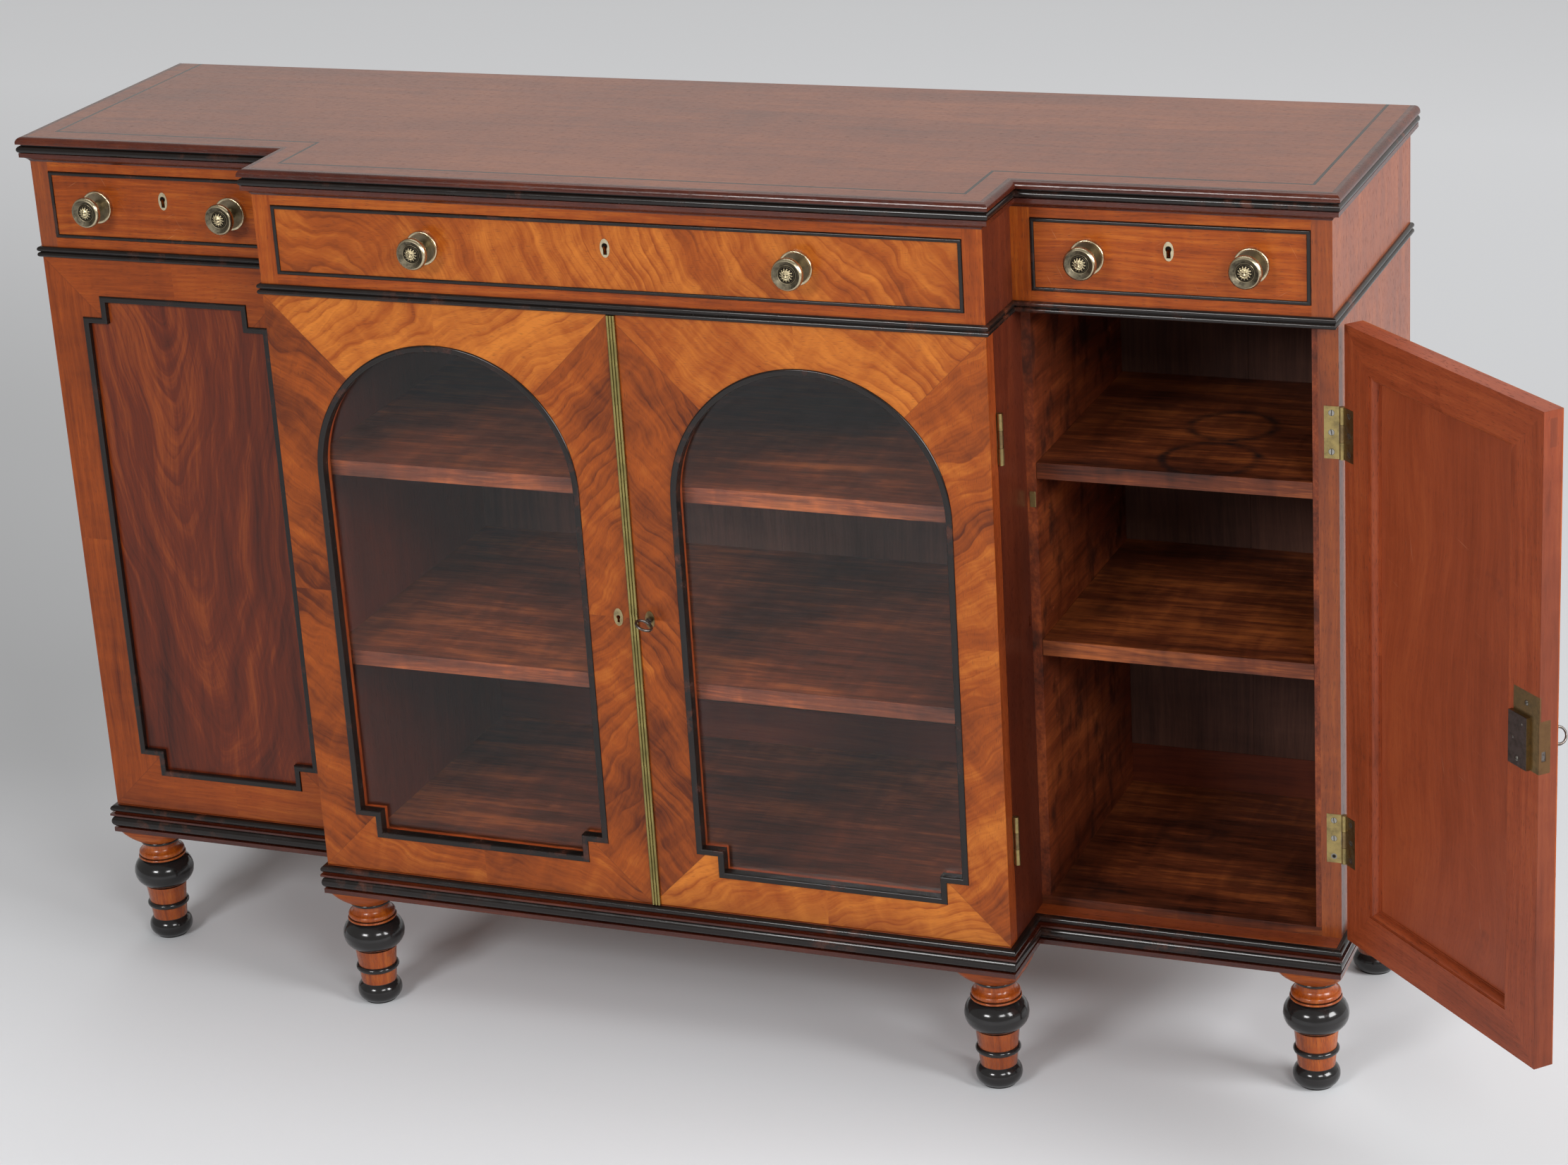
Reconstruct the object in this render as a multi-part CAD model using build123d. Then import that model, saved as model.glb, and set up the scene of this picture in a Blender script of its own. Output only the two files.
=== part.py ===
from build123d import *
import os

# Cabinet frame while modelling: x across from the middle, y back from the wing fronts, z up from the floor.
height = 920.0
centre_half = 377.0
wing_width = 304.0
break_depth = 80.0
wing_depth = 318.0
board_thickness = 19.6
lining_inner = 9.5
lining_outer = 5.4
back_thickness = 10.0
board_joint = 0.3
half_width = centre_half + wing_width

# Feet: turned, each zone standing on the one below.
foot_inset_x = 28.5
foot_inset_y = 31.0
toe_radius = 23.6
toe_height = 24.0
toe_tread = 17.0
toe_tread_height = 3.0
shank_low_radius = 17.6
shank_mid_radius = 20.2
shank_top_radius = 22.4
shank_low_length = 12.5
shank_top_length = 19.5
ring_height = 6.0
ring_out = 2.7
torus_height = 34.5
torus_out = 10.2
foot_fillet_height = 2.5
foot_fillet_out = 3.6
foot_bead_height = 6.0
foot_bead_out = 2.6
neck_height = 9.5
neck_foot_out = 0.4
neck_radius = 19.4
neck_hollow_share = 0.25
top_ring_height = 3.5
top_ring_out = 2.9
round_share = 0.49
block_height = 18.0
block_half = 33.0
block_round = 7.0
block_mid_drop = 9.0
block_mid_in = 3.0
block_mid_round = 14.0
block_foot_in = 10.0
block_foot_flat = 1.0
ring_low = toe_height + shank_low_length
ring_high = ring_low + ring_height
torus_low = ring_high + shank_top_length
torus_high = torus_low + torus_height
foot_fillet_high = torus_high + foot_fillet_height
foot_bead_high = foot_fillet_high + foot_bead_height
neck_high = foot_bead_high + neck_height
top_ring_high = neck_high + top_ring_height
block_top = top_ring_high + block_height

# Plinth, floor boards and the base moulding in front of them.
plinth_height = 23.0
floor_thickness = 18.0
plinth_lip = 8.6
plinth_bearer_width = 60.0
base_top_drop = 0.6
base_bead_height = 7.0
base_step_height = 4.5
base_torus_height = 14.5
base_bead_out = 6.4
base_step_out = 7.0
base_torus_out = 6.6
base_strip_out = 5.0
base_step_root = 2.0
base_step_bulge_share = 0.3
bead_square = 0.4
floor_under = block_top + plinth_height
floor_top = floor_under + floor_thickness
plinth_lip_top = floor_under + plinth_lip
base_top = plinth_lip_top - base_top_drop
base_bead_low = base_top - base_bead_height
base_step_low = base_bead_low - base_step_height
base_torus_low = base_step_low - base_torus_height

# Top board and cornice, worked in layers down from the top.
top_thickness = 19.0
nosing_height = 7.0
cornice_hollow_height = 2.0
bead_height = 7.5
fillet_height = 4.5
cove_height = 5.5
arris_out = 3.0
nosing_out = 9.5
nosing_radius = 5.5
nosing_bulge_out_share = 0.8
nosing_bulge_up_share = 0.65
cornice_hollow_out = 5.5
bead_out = 9.3
fillet_out = 7.8
cove_bulge_share = 0.35
inlay_inset = 20.5
inlay_width = 3.2
inlay_depth = 1.5
top_under = height - top_thickness
nosing_under = height - nosing_height
bead_top = nosing_under - cornice_hollow_height
bead_under = bead_top - bead_height
fillet_bottom = bead_under - fillet_height
frieze_top = fillet_bottom - cove_height

# Frieze with its drawers, and the string moulding of two small beads.
frieze_rail_high = 10.0
frieze_rail_low = 10.5
drawer_height = 70.0
drawer_gap = 0.4
drawer_edge = 20.0
drawer_inner_edge = 19.5
drawer_front_thickness = 20.0
drawer_side_thickness = 10.0
drawer_side_lap = 12.0
drawer_side_drop = 11.5
drawer_back_room = 18.0
drawer_bottom_thickness = 6.0
drawer_bottom_lift = 5.0
drawer_groove = 4.0
cockbead_width = 3.6
cockbead_out = 1.8
cockbead_depth = 8.0
cockbead_round = 1.2
runner_width = 18.0
dust_thickness = 10.0
runner_gap = 0.2
guide_height = 26.5
rail_tenon = 6.0
rail_tenon_thickness = 8.0
rail_tenon_inset = 6.0
rail_tenon_margin = 3.0
string_height = 11.0
string_out = 4.0
string_bead_gap = 0.6
string_root = 1.2
dust_drop = 6.0
drawer_high = frieze_top - frieze_rail_high
drawer_low = drawer_high - drawer_height
string_top = drawer_low - frieze_rail_low
string_bottom = string_top - string_height
opening_top = string_bottom - dust_drop
drawer_side_top = drawer_high - drawer_side_drop
guide_top = drawer_low + guide_height
back_front = wing_depth - back_thickness
drawer_back = back_front - drawer_back_room
wing_drawer_left = centre_half + drawer_inner_edge
wing_drawer_right = half_width - drawer_edge
centre_drawer_half = centre_half - drawer_edge

# Doors lie over the front edges of the case, between the plinth lip and the string moulding.
door_thickness = 20.0
door_gap = 1.0
door_side_gap = 0.5
door_foot_gap = 0.9
door_head_gap = 0.5
case_front = door_thickness + door_gap
door_bottom = plinth_lip_top + door_foot_gap
door_top = string_bottom - door_head_gap

# Door frames.
wing_stile_inner = 46.2
wing_stile_outer = 38.9
wing_rail_low = 39.8
wing_rail_high = 39.2
centre_stile_inner = 48.5
centre_stile_outer = 40.5
centre_rail_low = 38.0
centre_arch_drop = 42.2
joint_line = -4.5
meeting_gap = 0.4
notch_wide = 22.8
notch_high = 23.5
door_bead_width = 6.6
door_bead_out = 1.8
wing_bead_depth = 4.0
door_bead_round = 1.6
panel_groove = 5.0
panel_thickness = 7.0
glazing_depth = 9.0
glass_thickness = 2.5
glass_gap = 0.2
glazing_strip_width = 5.0
glazing_strip_inset = 2.5
tenon_thickness = 7.0
tenon_height = 26.0
tenon_from_back = 1.5
tenon_from_end = 7.0
strip_width = 9.0
strip_out = 3.4
strip_reed_gap = 0.2
strip_reed_count = 3
wing_sight_left = centre_half + wing_stile_inner
wing_sight_right = half_width - wing_stile_outer
wing_sight_low = door_bottom + wing_rail_low
wing_sight_high = door_top - wing_rail_high
centre_sight_left = centre_stile_inner
centre_sight_right = centre_half - centre_stile_outer
centre_sight_low = door_bottom + centre_rail_low
arch_top = door_top - centre_arch_drop
arch_radius = (centre_sight_right - centre_sight_left) / 2
glazing_strip_depth = door_thickness - glazing_strip_inset - glazing_depth - glass_thickness
tenon_front = door_thickness - tenon_from_back - tenon_thickness

# Hinges: three barrels on each, the middle one on the door.
hinge_length = 51.0
hinge_middle = 17.0
hinge_axis_out = 3.3
hinge_barrel_radius = 2.9
hinge_leaf_width = 14.0
hinge_leaf_thickness = 1.0
hinge_leaf_gap = 0.2
hinge_barrel_gap = 0.3
hinge_pin_radius = 1.3
hinge_pin_clearance = 0.05
hinge_from_end = 105.5
rest_opening_angle = 136.5

# Locks, keys and escutcheons.
lock_width = 40.0
lock_height = 50.0
lock_under_key = 22.0
lock_plate_width = 38.0
lock_plate_height = 73.0
lock_plate_thickness = 1.6
lock_depth = 12.0
lock_box_out = 4.0
lock_box_inset = 13.0
key_inset = 21.0
key_radius = 2.0
key_clearance = 0.08
key_inner_reach = 14.0
key_outer_reach = 7.5
key_bow_radius = 8.2
key_bow_wire = 1.4
key_bow_angle = 27.0
key_collar_radius = 3.2
key_collar_length = 2.0
key_bit_reach = 7.5
key_bit_thickness = 2.2
key_bit_length = 4.4
key_bit_from_end = 0.6
bit_room = 0.4
bolt_length = 14.0
bolt_height = 9.0
bolt_thickness = 4.0
bolt_rise = 12.0
bolt_from_back = 3.0
bolt_clearance = 0.15
bolt_set_back = 0.4
bolt_mortise_margin = 1.0
bolt_mortise_depth = 6.5
escutcheon_half_height = 9.3
escutcheon_half_width = 5.0
escutcheon_thickness = 1.0
escutcheon_set = 0.4
keyhole_slot_width = 2.4
keyhole_slot_drop = 5.5
keyhole_depth = 6.0
drawer_escutcheon_drop = 26.0
key_height = (door_bottom + door_top) / 2
lock_low = key_height - lock_under_key
keyhole_radius = key_radius + key_clearance
drawer_escutcheon_height = drawer_high - drawer_escutcheon_drop

# Knobs.
knob_plate_radius = 17.0
knob_plate_thickness = 4.2
knob_plate_lip = 2.2
knob_plate_dish = 2.2
knob_stem_radius = 6.0
knob_neck_radius = 4.4
knob_neck_from_face = 12.0
knob_neck_flare = 7.0
knob_head_thickness = 9.0
knob_head_radius = 16.0
knob_head_lip = 1.9
knob_head_dish = 3.4
knob_boss_radius = 8.9
knob_boss_dome = 2.6
wing_knob_share = 0.29414
centre_knob_share = 0.54342
knob_head_back = knob_neck_from_face + knob_neck_flare
knob_head_front = knob_head_back + knob_head_thickness
knob_height = (drawer_low + drawer_high) / 2

# Shelves and pegs: shelf heights as shares of the way from the floor boards to the dust boards.
shelf_thickness = 16.0
shelf_gap = 0.5
shelf_set_back = 1.0
wing_shelf_shares = (0.45238, 0.75205)
centre_shelf_shares = (0.37767, 0.71757)
peg_radius = 3.0
peg_out = 8.0
peg_in = 5.0
peg_hole_pitch = 38.0
peg_row_count = 3
peg_inset = 38.0

# Back of upright boards over one rail.
centre_board_count = 6
wing_board_count = 2
back_rail_height = 62.0


def board(x_low, x_high, y_low, y_high, z_low, z_high):
    """A straight piece between three pairs of limits."""
    size = (x_high - x_low, y_high - y_low, z_high - z_low)
    middle = ((x_low + x_high) / 2, (y_low + y_high) / 2, (z_low + z_high) / 2)
    return Pos(*middle) * Box(*size)


def breakfront_points(out, back):
    """Corners of the breakfront plan, moved outward and closed at the back."""
    side = half_width + out
    centre = centre_half + out
    return [
        (-side, back), (-side, -out), (-centre, -out), (-centre, -break_depth - out),
        (centre, -break_depth - out), (centre, -out), (side, -out), (side, back),
    ]


def breakfront_board(out, back, z_low, z_high):
    plan = make_face(Polyline(*breakfront_points(out, back), close=True))
    return Pos(0, 0, z_low) * extrude(plan, z_high - z_low)


def run_moulding(profile):
    """Sweeps a profile drawn in (outward, up) along the breakfront with mitred corners."""
    path = Polyline(*[(x, y, 0) for x, y in breakfront_points(0, wing_depth)])
    start = Plane(origin=(-half_width, wing_depth, 0), x_dir=(-1, 0, 0), z_dir=(0, 1, 0))
    return sweep(start * profile, path=path, transition=Transition.RIGHT)


def round_bead(out, low, high, root):
    """Half-round bead standing on a thin root, in (outward, up)."""
    middle = (low + high) / 2
    square = max(out - (high - low) / 2, root + bead_square)
    edge = Line((root, low), (square, low))
    nose = ThreePointArc((square, low), (out, middle), (square, high))
    return make_face(edge + nose + Line((square, high), (root, high)) + Line((root, high), (root, low)))


def rounded_disc(radius, low, high):
    disc = Pos(0, 0, (low + high) / 2) * Cylinder(radius, high - low)
    return fillet(disc.edges(), (high - low) * round_share)


def tapered(radius_low, radius_high, low, high):
    return Pos(0, 0, (low + high) / 2) * Cone(radius_low, radius_high, high - low)


def mirrored(piece):
    return mirror(piece, about=Plane.YZ)


def front_face(profile, y_front, depth):
    """Extrudes a drawing made in (x, z) backward from y_front."""
    plane = Plane(origin=(0, y_front, 0), x_dir=(1, 0, 0), z_dir=(0, -1, 0))
    return extrude(plane * profile, -depth)


def rectangle_between(x_low, x_high, z_low, z_high):
    middle = ((x_low + x_high) / 2, (z_low + z_high) / 2)
    return Pos(*middle) * Rectangle(x_high - x_low, z_high - z_low)


pieces = {}

# Case carcass: boards stand on the plinth and stop at the case front, behind the doors.
top_of_case = top_under
side_inner = half_width - board_thickness
divider_inner = centre_half - board_thickness
centre_front = case_front - break_depth
wing_left = centre_half + lining_inner
wing_right = side_inner - lining_outer


def upright(x_low, front, recess, back):
    """An upright board whose edge is set back below the string moulding."""
    outline = Polyline(
        (recess, floor_under), (back, floor_under), (back, top_of_case),
        (front, top_of_case), (front, string_bottom), (recess, string_bottom), close=True,
    )
    plane = Plane(origin=(x_low, 0, 0), x_dir=(0, 1, 0), z_dir=(1, 0, 0))
    return extrude(plane * make_face(outline), board_thickness)


side_right = upright(side_inner, 0, case_front, wing_depth)
divider_right = upright(divider_inner, -break_depth, centre_front, back_front)
back_edge = half_width - board_thickness / 2
side_right = side_right - board(side_inner, back_edge, back_front, wing_depth, floor_under, top_of_case)

lining_near = board(centre_half, wing_left, case_front, back_front, floor_top, opening_top)
lining_far = board(wing_right, side_inner, case_front, back_front, floor_top, opening_top)


def board_row(x_low, x_high, count):
    width = (x_high - x_low) / count
    row = []
    for index in range(count):
        start = x_low + index * width
        end = start + width - board_joint
        row.append(board(start, end, back_front, wing_depth, floor_under + back_rail_height, top_of_case))
    return row


back_split = centre_half - board_thickness / 2
back_centre = board_row(-back_split, back_split, centre_board_count)
back_wing = board_row(back_split, back_edge, wing_board_count)
pieces["back_boards"] = back_centre + back_wing + [mirrored(piece) for piece in back_wing]
rail_top = floor_under + back_rail_height - board_joint
pieces["back_rail"] = [board(-back_edge, back_edge, back_front, wing_depth, floor_under, rail_top)]

floor_wing = board(centre_half, side_inner, case_front, back_front, floor_under, floor_top)
floor_centre = board(-divider_inner, divider_inner, centre_front, back_front, floor_under, floor_top)
pieces["floor_boards"] = [floor_centre, floor_wing, mirrored(floor_wing)]

# Plinth frame with a raised lip in front of the floor boards.
plinth = breakfront_board(0, wing_depth, block_top, floor_under)
bearer = plinth_bearer_width
for x_low, x_high, y_low in (
    (bearer - centre_half, centre_half - bearer, bearer - break_depth),
    (centre_half + bearer, half_width - bearer, bearer),
    (bearer - half_width, -centre_half - bearer, bearer),
):
    plinth = plinth - board(x_low, x_high, y_low, wing_depth - bearer, block_top, floor_under)
lip = breakfront_board(0, case_front, floor_under, plinth_lip_top)
lip = lip - board(-centre_half, centre_half, centre_front, case_front, floor_under, plinth_lip_top)
pieces["plinth_frame"] = [plinth + lip]

# Base moulding: bead, mahogany step, large bead, mahogany strip.
base_bead = run_moulding(round_bead(base_bead_out, base_bead_low, base_top, 0))
base_torus = run_moulding(round_bead(base_torus_out, base_torus_low, base_step_low, 0))
step_middle = (base_step_low + base_bead_low) / 2
step_bulge_out = base_step_root + (base_step_out - base_step_root) * base_step_bulge_share
step_bulge_up = base_bead_low - (base_bead_low - step_middle) * (1 - base_step_bulge_share)
step_top = (base_step_root, base_bead_low)
step_nose = (base_step_out, step_middle)
step_profile = make_face(
    Polyline(step_top, (0, base_bead_low), (0, base_step_low), (base_step_out, base_step_low), step_nose)
    + ThreePointArc(step_nose, (step_bulge_out, step_bulge_up), step_top)
)
pieces["base_moulding"] = [
    run_moulding(step_profile),
    run_moulding(rectangle_between(0, base_strip_out, block_top, base_torus_low)),
]
pieces["base_beads"] = [base_bead, base_torus]

# Top board with an inlaid line, and the cornice in layers under its edge.
top_board = breakfront_board(0, wing_depth, top_under, height)
inlay = breakfront_board(-inlay_inset, wing_depth, height - inlay_depth, height)
inlay = inlay - breakfront_board(-inlay_inset - inlay_width, wing_depth, height - inlay_depth, height)
pieces["top_board"] = [top_board - inlay]
pieces["top_inlay"] = [solid for solid in inlay.solids()]
nosing_turn = height - nosing_radius
nosing_bulge = (
    arris_out + (nosing_out - arris_out) * nosing_bulge_out_share,
    nosing_turn + nosing_radius * nosing_bulge_up_share,
)
nosing_arris = (arris_out, height)
nosing_nose = (nosing_out, nosing_turn)
nosing_profile = make_face(
    Polyline(nosing_arris, (0, height), (0, nosing_under), (nosing_out, nosing_under), nosing_nose)
    + ThreePointArc(nosing_nose, nosing_bulge, nosing_arris)
)
cove_span = fillet_bottom - frieze_top
cove_bulge = (fillet_out * cove_bulge_share, fillet_bottom - cove_span * cove_bulge_share)
cove_profile = make_face(
    Polyline((0, frieze_top), (0, bead_under), (fillet_out, bead_under), (fillet_out, fillet_bottom))
    + ThreePointArc((fillet_out, fillet_bottom), cove_bulge, (0, frieze_top))
)
pieces["cornice_moulding"] = [run_moulding(nosing_profile), run_moulding(cove_profile)]
hollow = run_moulding(rectangle_between(0, cornice_hollow_out, bead_top, nosing_under))
pieces["cornice_bead"] = [run_moulding(round_bead(bead_out, bead_under, bead_top, 0)) + hollow]

# String moulding: two beads on one root.
string_middle = (string_bottom + string_top) / 2
string_root_profile = rectangle_between(0, string_root, string_bottom, string_top)
string_low = round_bead(string_out, string_bottom, string_middle - string_bead_gap / 2, 0)
string_high = round_bead(string_out, string_middle + string_bead_gap / 2, string_top, 0)
pieces["string_moulding"] = [run_moulding(string_root_profile + string_low + string_high)]

# Frieze: rails tenoned into the uprights, an inner stile in each wing.
drawer_opening_low = drawer_low - drawer_gap
drawer_opening_high = drawer_high + drawer_gap
stile_edge = wing_drawer_left - drawer_gap
frieze_stile = board(centre_half, stile_edge, 0, case_front, string_bottom, top_of_case)


def frieze_rail(x_low, x_high, front, z_low, z_high):
    back = front + case_front
    tenon_front_face = front + rail_tenon_inset
    rail = board(x_low, x_high, front, back, z_low, z_high)
    tenon = board(
        x_low - rail_tenon, x_high + rail_tenon, tenon_front_face, tenon_front_face + rail_tenon_thickness,
        z_low + rail_tenon_margin, z_high - rail_tenon_margin,
    )
    return rail + tenon


rails_right = [
    frieze_rail(stile_edge, side_inner, 0, string_bottom, drawer_opening_low),
    frieze_rail(stile_edge, side_inner, 0, drawer_opening_high, top_of_case),
]
rails_centre = [
    frieze_rail(-divider_inner, divider_inner, -break_depth, string_bottom, drawer_opening_low),
    frieze_rail(-divider_inner, divider_inner, -break_depth, drawer_opening_high, top_of_case),
]
for rail in rails_right:
    side_right = side_right - rail
    frieze_stile = frieze_stile - rail
for rail in rails_centre:
    divider_right = divider_right - rail
pieces["frieze_rails"] = rails_centre + rails_right + [mirrored(rail) for rail in rails_right]
pieces["frieze_stiles"] = [frieze_stile, mirrored(frieze_stile)]

# Dust boards and drawer runners.
dust_top = opening_top + dust_thickness
dust_centre = board(-divider_inner, divider_inner, centre_front, back_front, opening_top, dust_top)
dust_wing = board(centre_half, side_inner, case_front, back_front, opening_top, dust_top)
pieces["dust_boards"] = [dust_centre, dust_wing, mirrored(dust_wing)]
runner_top = drawer_low - runner_gap


def runner(x_low, x_high, front, z_low, z_high):
    return board(x_low, x_high, front, back_front, z_low, z_high)


runner_centre = runner(divider_inner - runner_width, divider_inner, centre_front, dust_top, runner_top)
runner_far = runner(side_inner - runner_width, side_inner, case_front, dust_top, runner_top)
runner_near = runner(centre_half, stile_edge + runner_width, case_front, dust_top, runner_top)
runner_near = runner_near + runner(centre_half, stile_edge, case_front, runner_top, guide_top)
runners = [runner_centre, runner_far, runner_near]
pieces["drawer_runners"] = runners + [mirrored(piece) for piece in runners]

# Shelves on pegs.
peg_y_front = peg_inset
peg_y_back = back_front - peg_inset


def x_peg(x_low, x_high, y, z):
    return Pos((x_low + x_high) / 2, y, z) * Rot(0, 90, 0) * Cylinder(peg_radius, x_high - x_low)


wing_shelves = []
centre_shelves = []
pegs = []
holes = []
shelf_back = back_front - shelf_gap
peg_spans = ((wing_left - peg_in, wing_left + peg_out), (wing_right - peg_out, wing_right + peg_in))
for share in wing_shelf_shares:
    top = floor_top + (opening_top - floor_top) * share
    shelf_low = top - shelf_thickness
    shelf_front = case_front + shelf_set_back
    wing_shelves.append(
        board(wing_left + shelf_gap, wing_right - shelf_gap, shelf_front, shelf_back, shelf_low, top)
    )
    peg_z = top - shelf_thickness - peg_radius
    for y in (case_front + peg_y_front, peg_y_back):
        for x_low, x_high in peg_spans:
            pegs.append(x_peg(x_low, x_high, y, peg_z))
            for row in range(1, peg_row_count):
                holes.append(x_peg(x_low, x_high, y, peg_z - row * peg_hole_pitch))
                holes.append(x_peg(x_low, x_high, y, peg_z + row * peg_hole_pitch))
for share in centre_shelf_shares:
    top = floor_top + (opening_top - floor_top) * share
    shelf_front = centre_front + shelf_set_back
    reach = divider_inner - shelf_gap
    centre_shelves.append(board(-reach, reach, shelf_front, shelf_back, top - shelf_thickness, top))
    peg_z = top - shelf_thickness - peg_radius
    for y in (centre_front + peg_y_front, peg_y_back):
        pegs.append(x_peg(divider_inner - peg_out, divider_inner + peg_in, y, peg_z))
for cutter in pegs + holes:
    lining_near = lining_near - cutter
    lining_far = lining_far - cutter
    if cutter.center().X < divider_inner + peg_out and cutter in pegs:
        divider_right = divider_right - cutter
pieces["shelves_centre"] = centre_shelves
pieces["shelves_wings"] = wing_shelves + [mirrored(shelf) for shelf in wing_shelves]
pieces["shelf_pegs"] = pegs + [mirrored(peg) for peg in pegs]
pieces["wing_linings"] = [lining_near, lining_far, mirrored(lining_near), mirrored(lining_far)]

# Feet: turned, under ogee blocks.
toe = rounded_disc(toe_radius, 0, toe_height)
toe = toe + Pos(0, 0, toe_tread_height / 2) * Cylinder(toe_tread, toe_tread_height)
neck_low = foot_bead_high - board_joint
neck_foot_radius = shank_top_radius + neck_foot_out
neck_hollow = (
    neck_radius + (neck_foot_radius - neck_radius) * neck_hollow_share,
    neck_low + (neck_high - neck_low) * neck_hollow_share,
)
neck_half = make_face(
    Polyline((neck_radius, neck_high), (0, neck_high), (0, neck_low), (neck_foot_radius, neck_low))
    + ThreePointArc((neck_foot_radius, neck_low), neck_hollow, (neck_radius, neck_high))
)
neck = revolve(Plane.XZ * neck_half, Axis.Z)
foot = (
    toe
    + tapered(shank_low_radius, shank_mid_radius, toe_height / 2, ring_low + board_joint)
    + rounded_disc(shank_mid_radius + ring_out, ring_low, ring_high)
    + tapered(shank_mid_radius, shank_top_radius, ring_high - board_joint, torus_low + board_joint)
    + rounded_disc(shank_top_radius + torus_out, torus_low, torus_high)
    + rounded_disc(shank_top_radius + foot_fillet_out, torus_high - board_joint, foot_fillet_high)
    + rounded_disc(shank_top_radius + foot_bead_out, foot_fillet_high - board_joint, foot_bead_high)
    + neck
    + rounded_disc(neck_radius + top_ring_out, neck_high - board_joint, top_ring_high)
)
block_foot_half = block_half - block_foot_in
block_levels = (
    (top_ring_high, block_foot_half, block_foot_half - block_foot_flat),
    (block_top - block_mid_drop, block_half - block_mid_in, block_mid_round),
    (block_top, block_half, block_round),
)
block_outlines = []
for z, half, corner in block_levels:
    block_outlines.append(Pos(0, 0, z) * RectangleRounded(2 * half, 2 * half, corner))
block = loft(block_outlines)
foot_places = []
for x, y in (
    (half_width - foot_inset_x, foot_inset_y),
    (centre_half - foot_inset_x, foot_inset_y - break_depth),
    (half_width - foot_inset_x, wing_depth - foot_inset_y),
):
    foot_places.append((x, y))
    foot_places.append((-x, y))
pieces["feet"] = [Pos(x, y, 0) * foot for x, y in foot_places]
pieces["foot_blocks"] = [Pos(x, y, 0) * block for x, y in foot_places]


def keyhole(x, z, y_front, depth):
    """Cutter for a round hole with a slot under it."""
    slot_half = keyhole_slot_width / 2
    slot = rectangle_between(x - slot_half, x + slot_half, z - keyhole_slot_drop, z)
    return front_face(Pos(x, z) * Circle(keyhole_radius) + slot, y_front, depth)


def escutcheon(x, z, front):
    plate_front = front + escutcheon_set - escutcheon_thickness
    outline = Pos(x, z) * Ellipse(escutcheon_half_width, escutcheon_half_height)
    plate = front_face(outline, plate_front, escutcheon_thickness)
    return plate - keyhole(x, z, plate_front, escutcheon_thickness)


def knob(x, z, front):
    """Turned knob on a dished plate, its axis along y."""
    plate = fillet(
        Cylinder(knob_plate_radius, knob_plate_thickness).edges().group_by(Axis.Z)[-1], knob_plate_lip / 2
    )
    plate = Pos(0, 0, knob_plate_thickness / 2) * plate
    dish_outer = knob_plate_radius - knob_plate_lip
    dish_low = knob_plate_thickness - knob_plate_dish
    plate = plate - tapered(knob_stem_radius, dish_outer, dish_low, knob_plate_thickness)
    stem = tapered(knob_stem_radius, knob_neck_radius, 0, knob_neck_from_face)
    stem = stem + tapered(knob_neck_radius, knob_boss_radius, knob_neck_from_face, knob_head_back)
    head = rounded_disc(knob_head_radius, knob_head_back, knob_head_front)
    head_outer = knob_head_radius - knob_head_lip
    head = head - tapered(knob_boss_radius, head_outer, knob_head_front - knob_head_dish, knob_head_front)
    boss_low = knob_head_front - knob_head_dish
    boss_rise = knob_boss_dome
    sphere_radius = (knob_boss_radius ** 2 + boss_rise ** 2) / (2 * boss_rise)
    cap = Pos(0, 0, boss_low + boss_rise - sphere_radius) * Sphere(sphere_radius)
    cap = cap & Pos(0, 0, boss_low) * Cylinder(knob_boss_radius, 2 * boss_rise)
    turned = plate + stem + head + cap
    return Pos(x, front, z) * Rot(90, 0, 0) * turned


def drawer(name, x_low, x_high, front, back, knob_places):
    """One drawer: front, applied cockbead, box and brass."""
    middle = (x_low + x_high) / 2
    ring = rectangle_between(x_low, x_high, drawer_low, drawer_high)
    ring = ring - offset(ring, -cockbead_width, kind=Kind.INTERSECTION)
    cockbead = front_face(ring, front - cockbead_out, cockbead_out + cockbead_depth)
    cockbead = fillet(cockbead.faces().sort_by(Axis.Y)[0].edges(), cockbead_round)
    panel = board(x_low, x_high, front, front + drawer_front_thickness, drawer_low, drawer_high)
    panel = panel - front_face(ring, front, cockbead_depth)
    side_front = front + drawer_front_thickness - drawer_side_lap
    bottom_low = drawer_low + drawer_bottom_lift
    bottom_top = bottom_low + drawer_bottom_thickness
    inner_low = x_low + drawer_side_thickness
    inner_high = x_high - drawer_side_thickness
    near = board(x_low, inner_low, side_front, back, drawer_low, drawer_side_top)
    far = board(inner_high, x_high, side_front, back, drawer_low, drawer_side_top)
    rear = board(inner_low, inner_high, back - drawer_side_thickness, back, bottom_top, drawer_side_top)
    bottom = board(
        inner_low - drawer_groove, inner_high + drawer_groove,
        front + drawer_front_thickness - drawer_groove, back, bottom_low, bottom_top,
    )
    near = near - bottom
    far = far - bottom
    panel = panel - near - far - bottom
    panel = panel - keyhole(middle, drawer_escutcheon_height, front, keyhole_depth)
    plate = escutcheon(middle, drawer_escutcheon_height, front)
    panel = panel - plate
    pieces[name + "_front"] = [panel]
    pieces[name + "_cockbead"] = [cockbead]
    pieces[name + "_box"] = [near, far, rear, bottom]
    pieces[name + "_brass"] = [knob(x, knob_height, front) for x in knob_places] + [plate]


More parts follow.
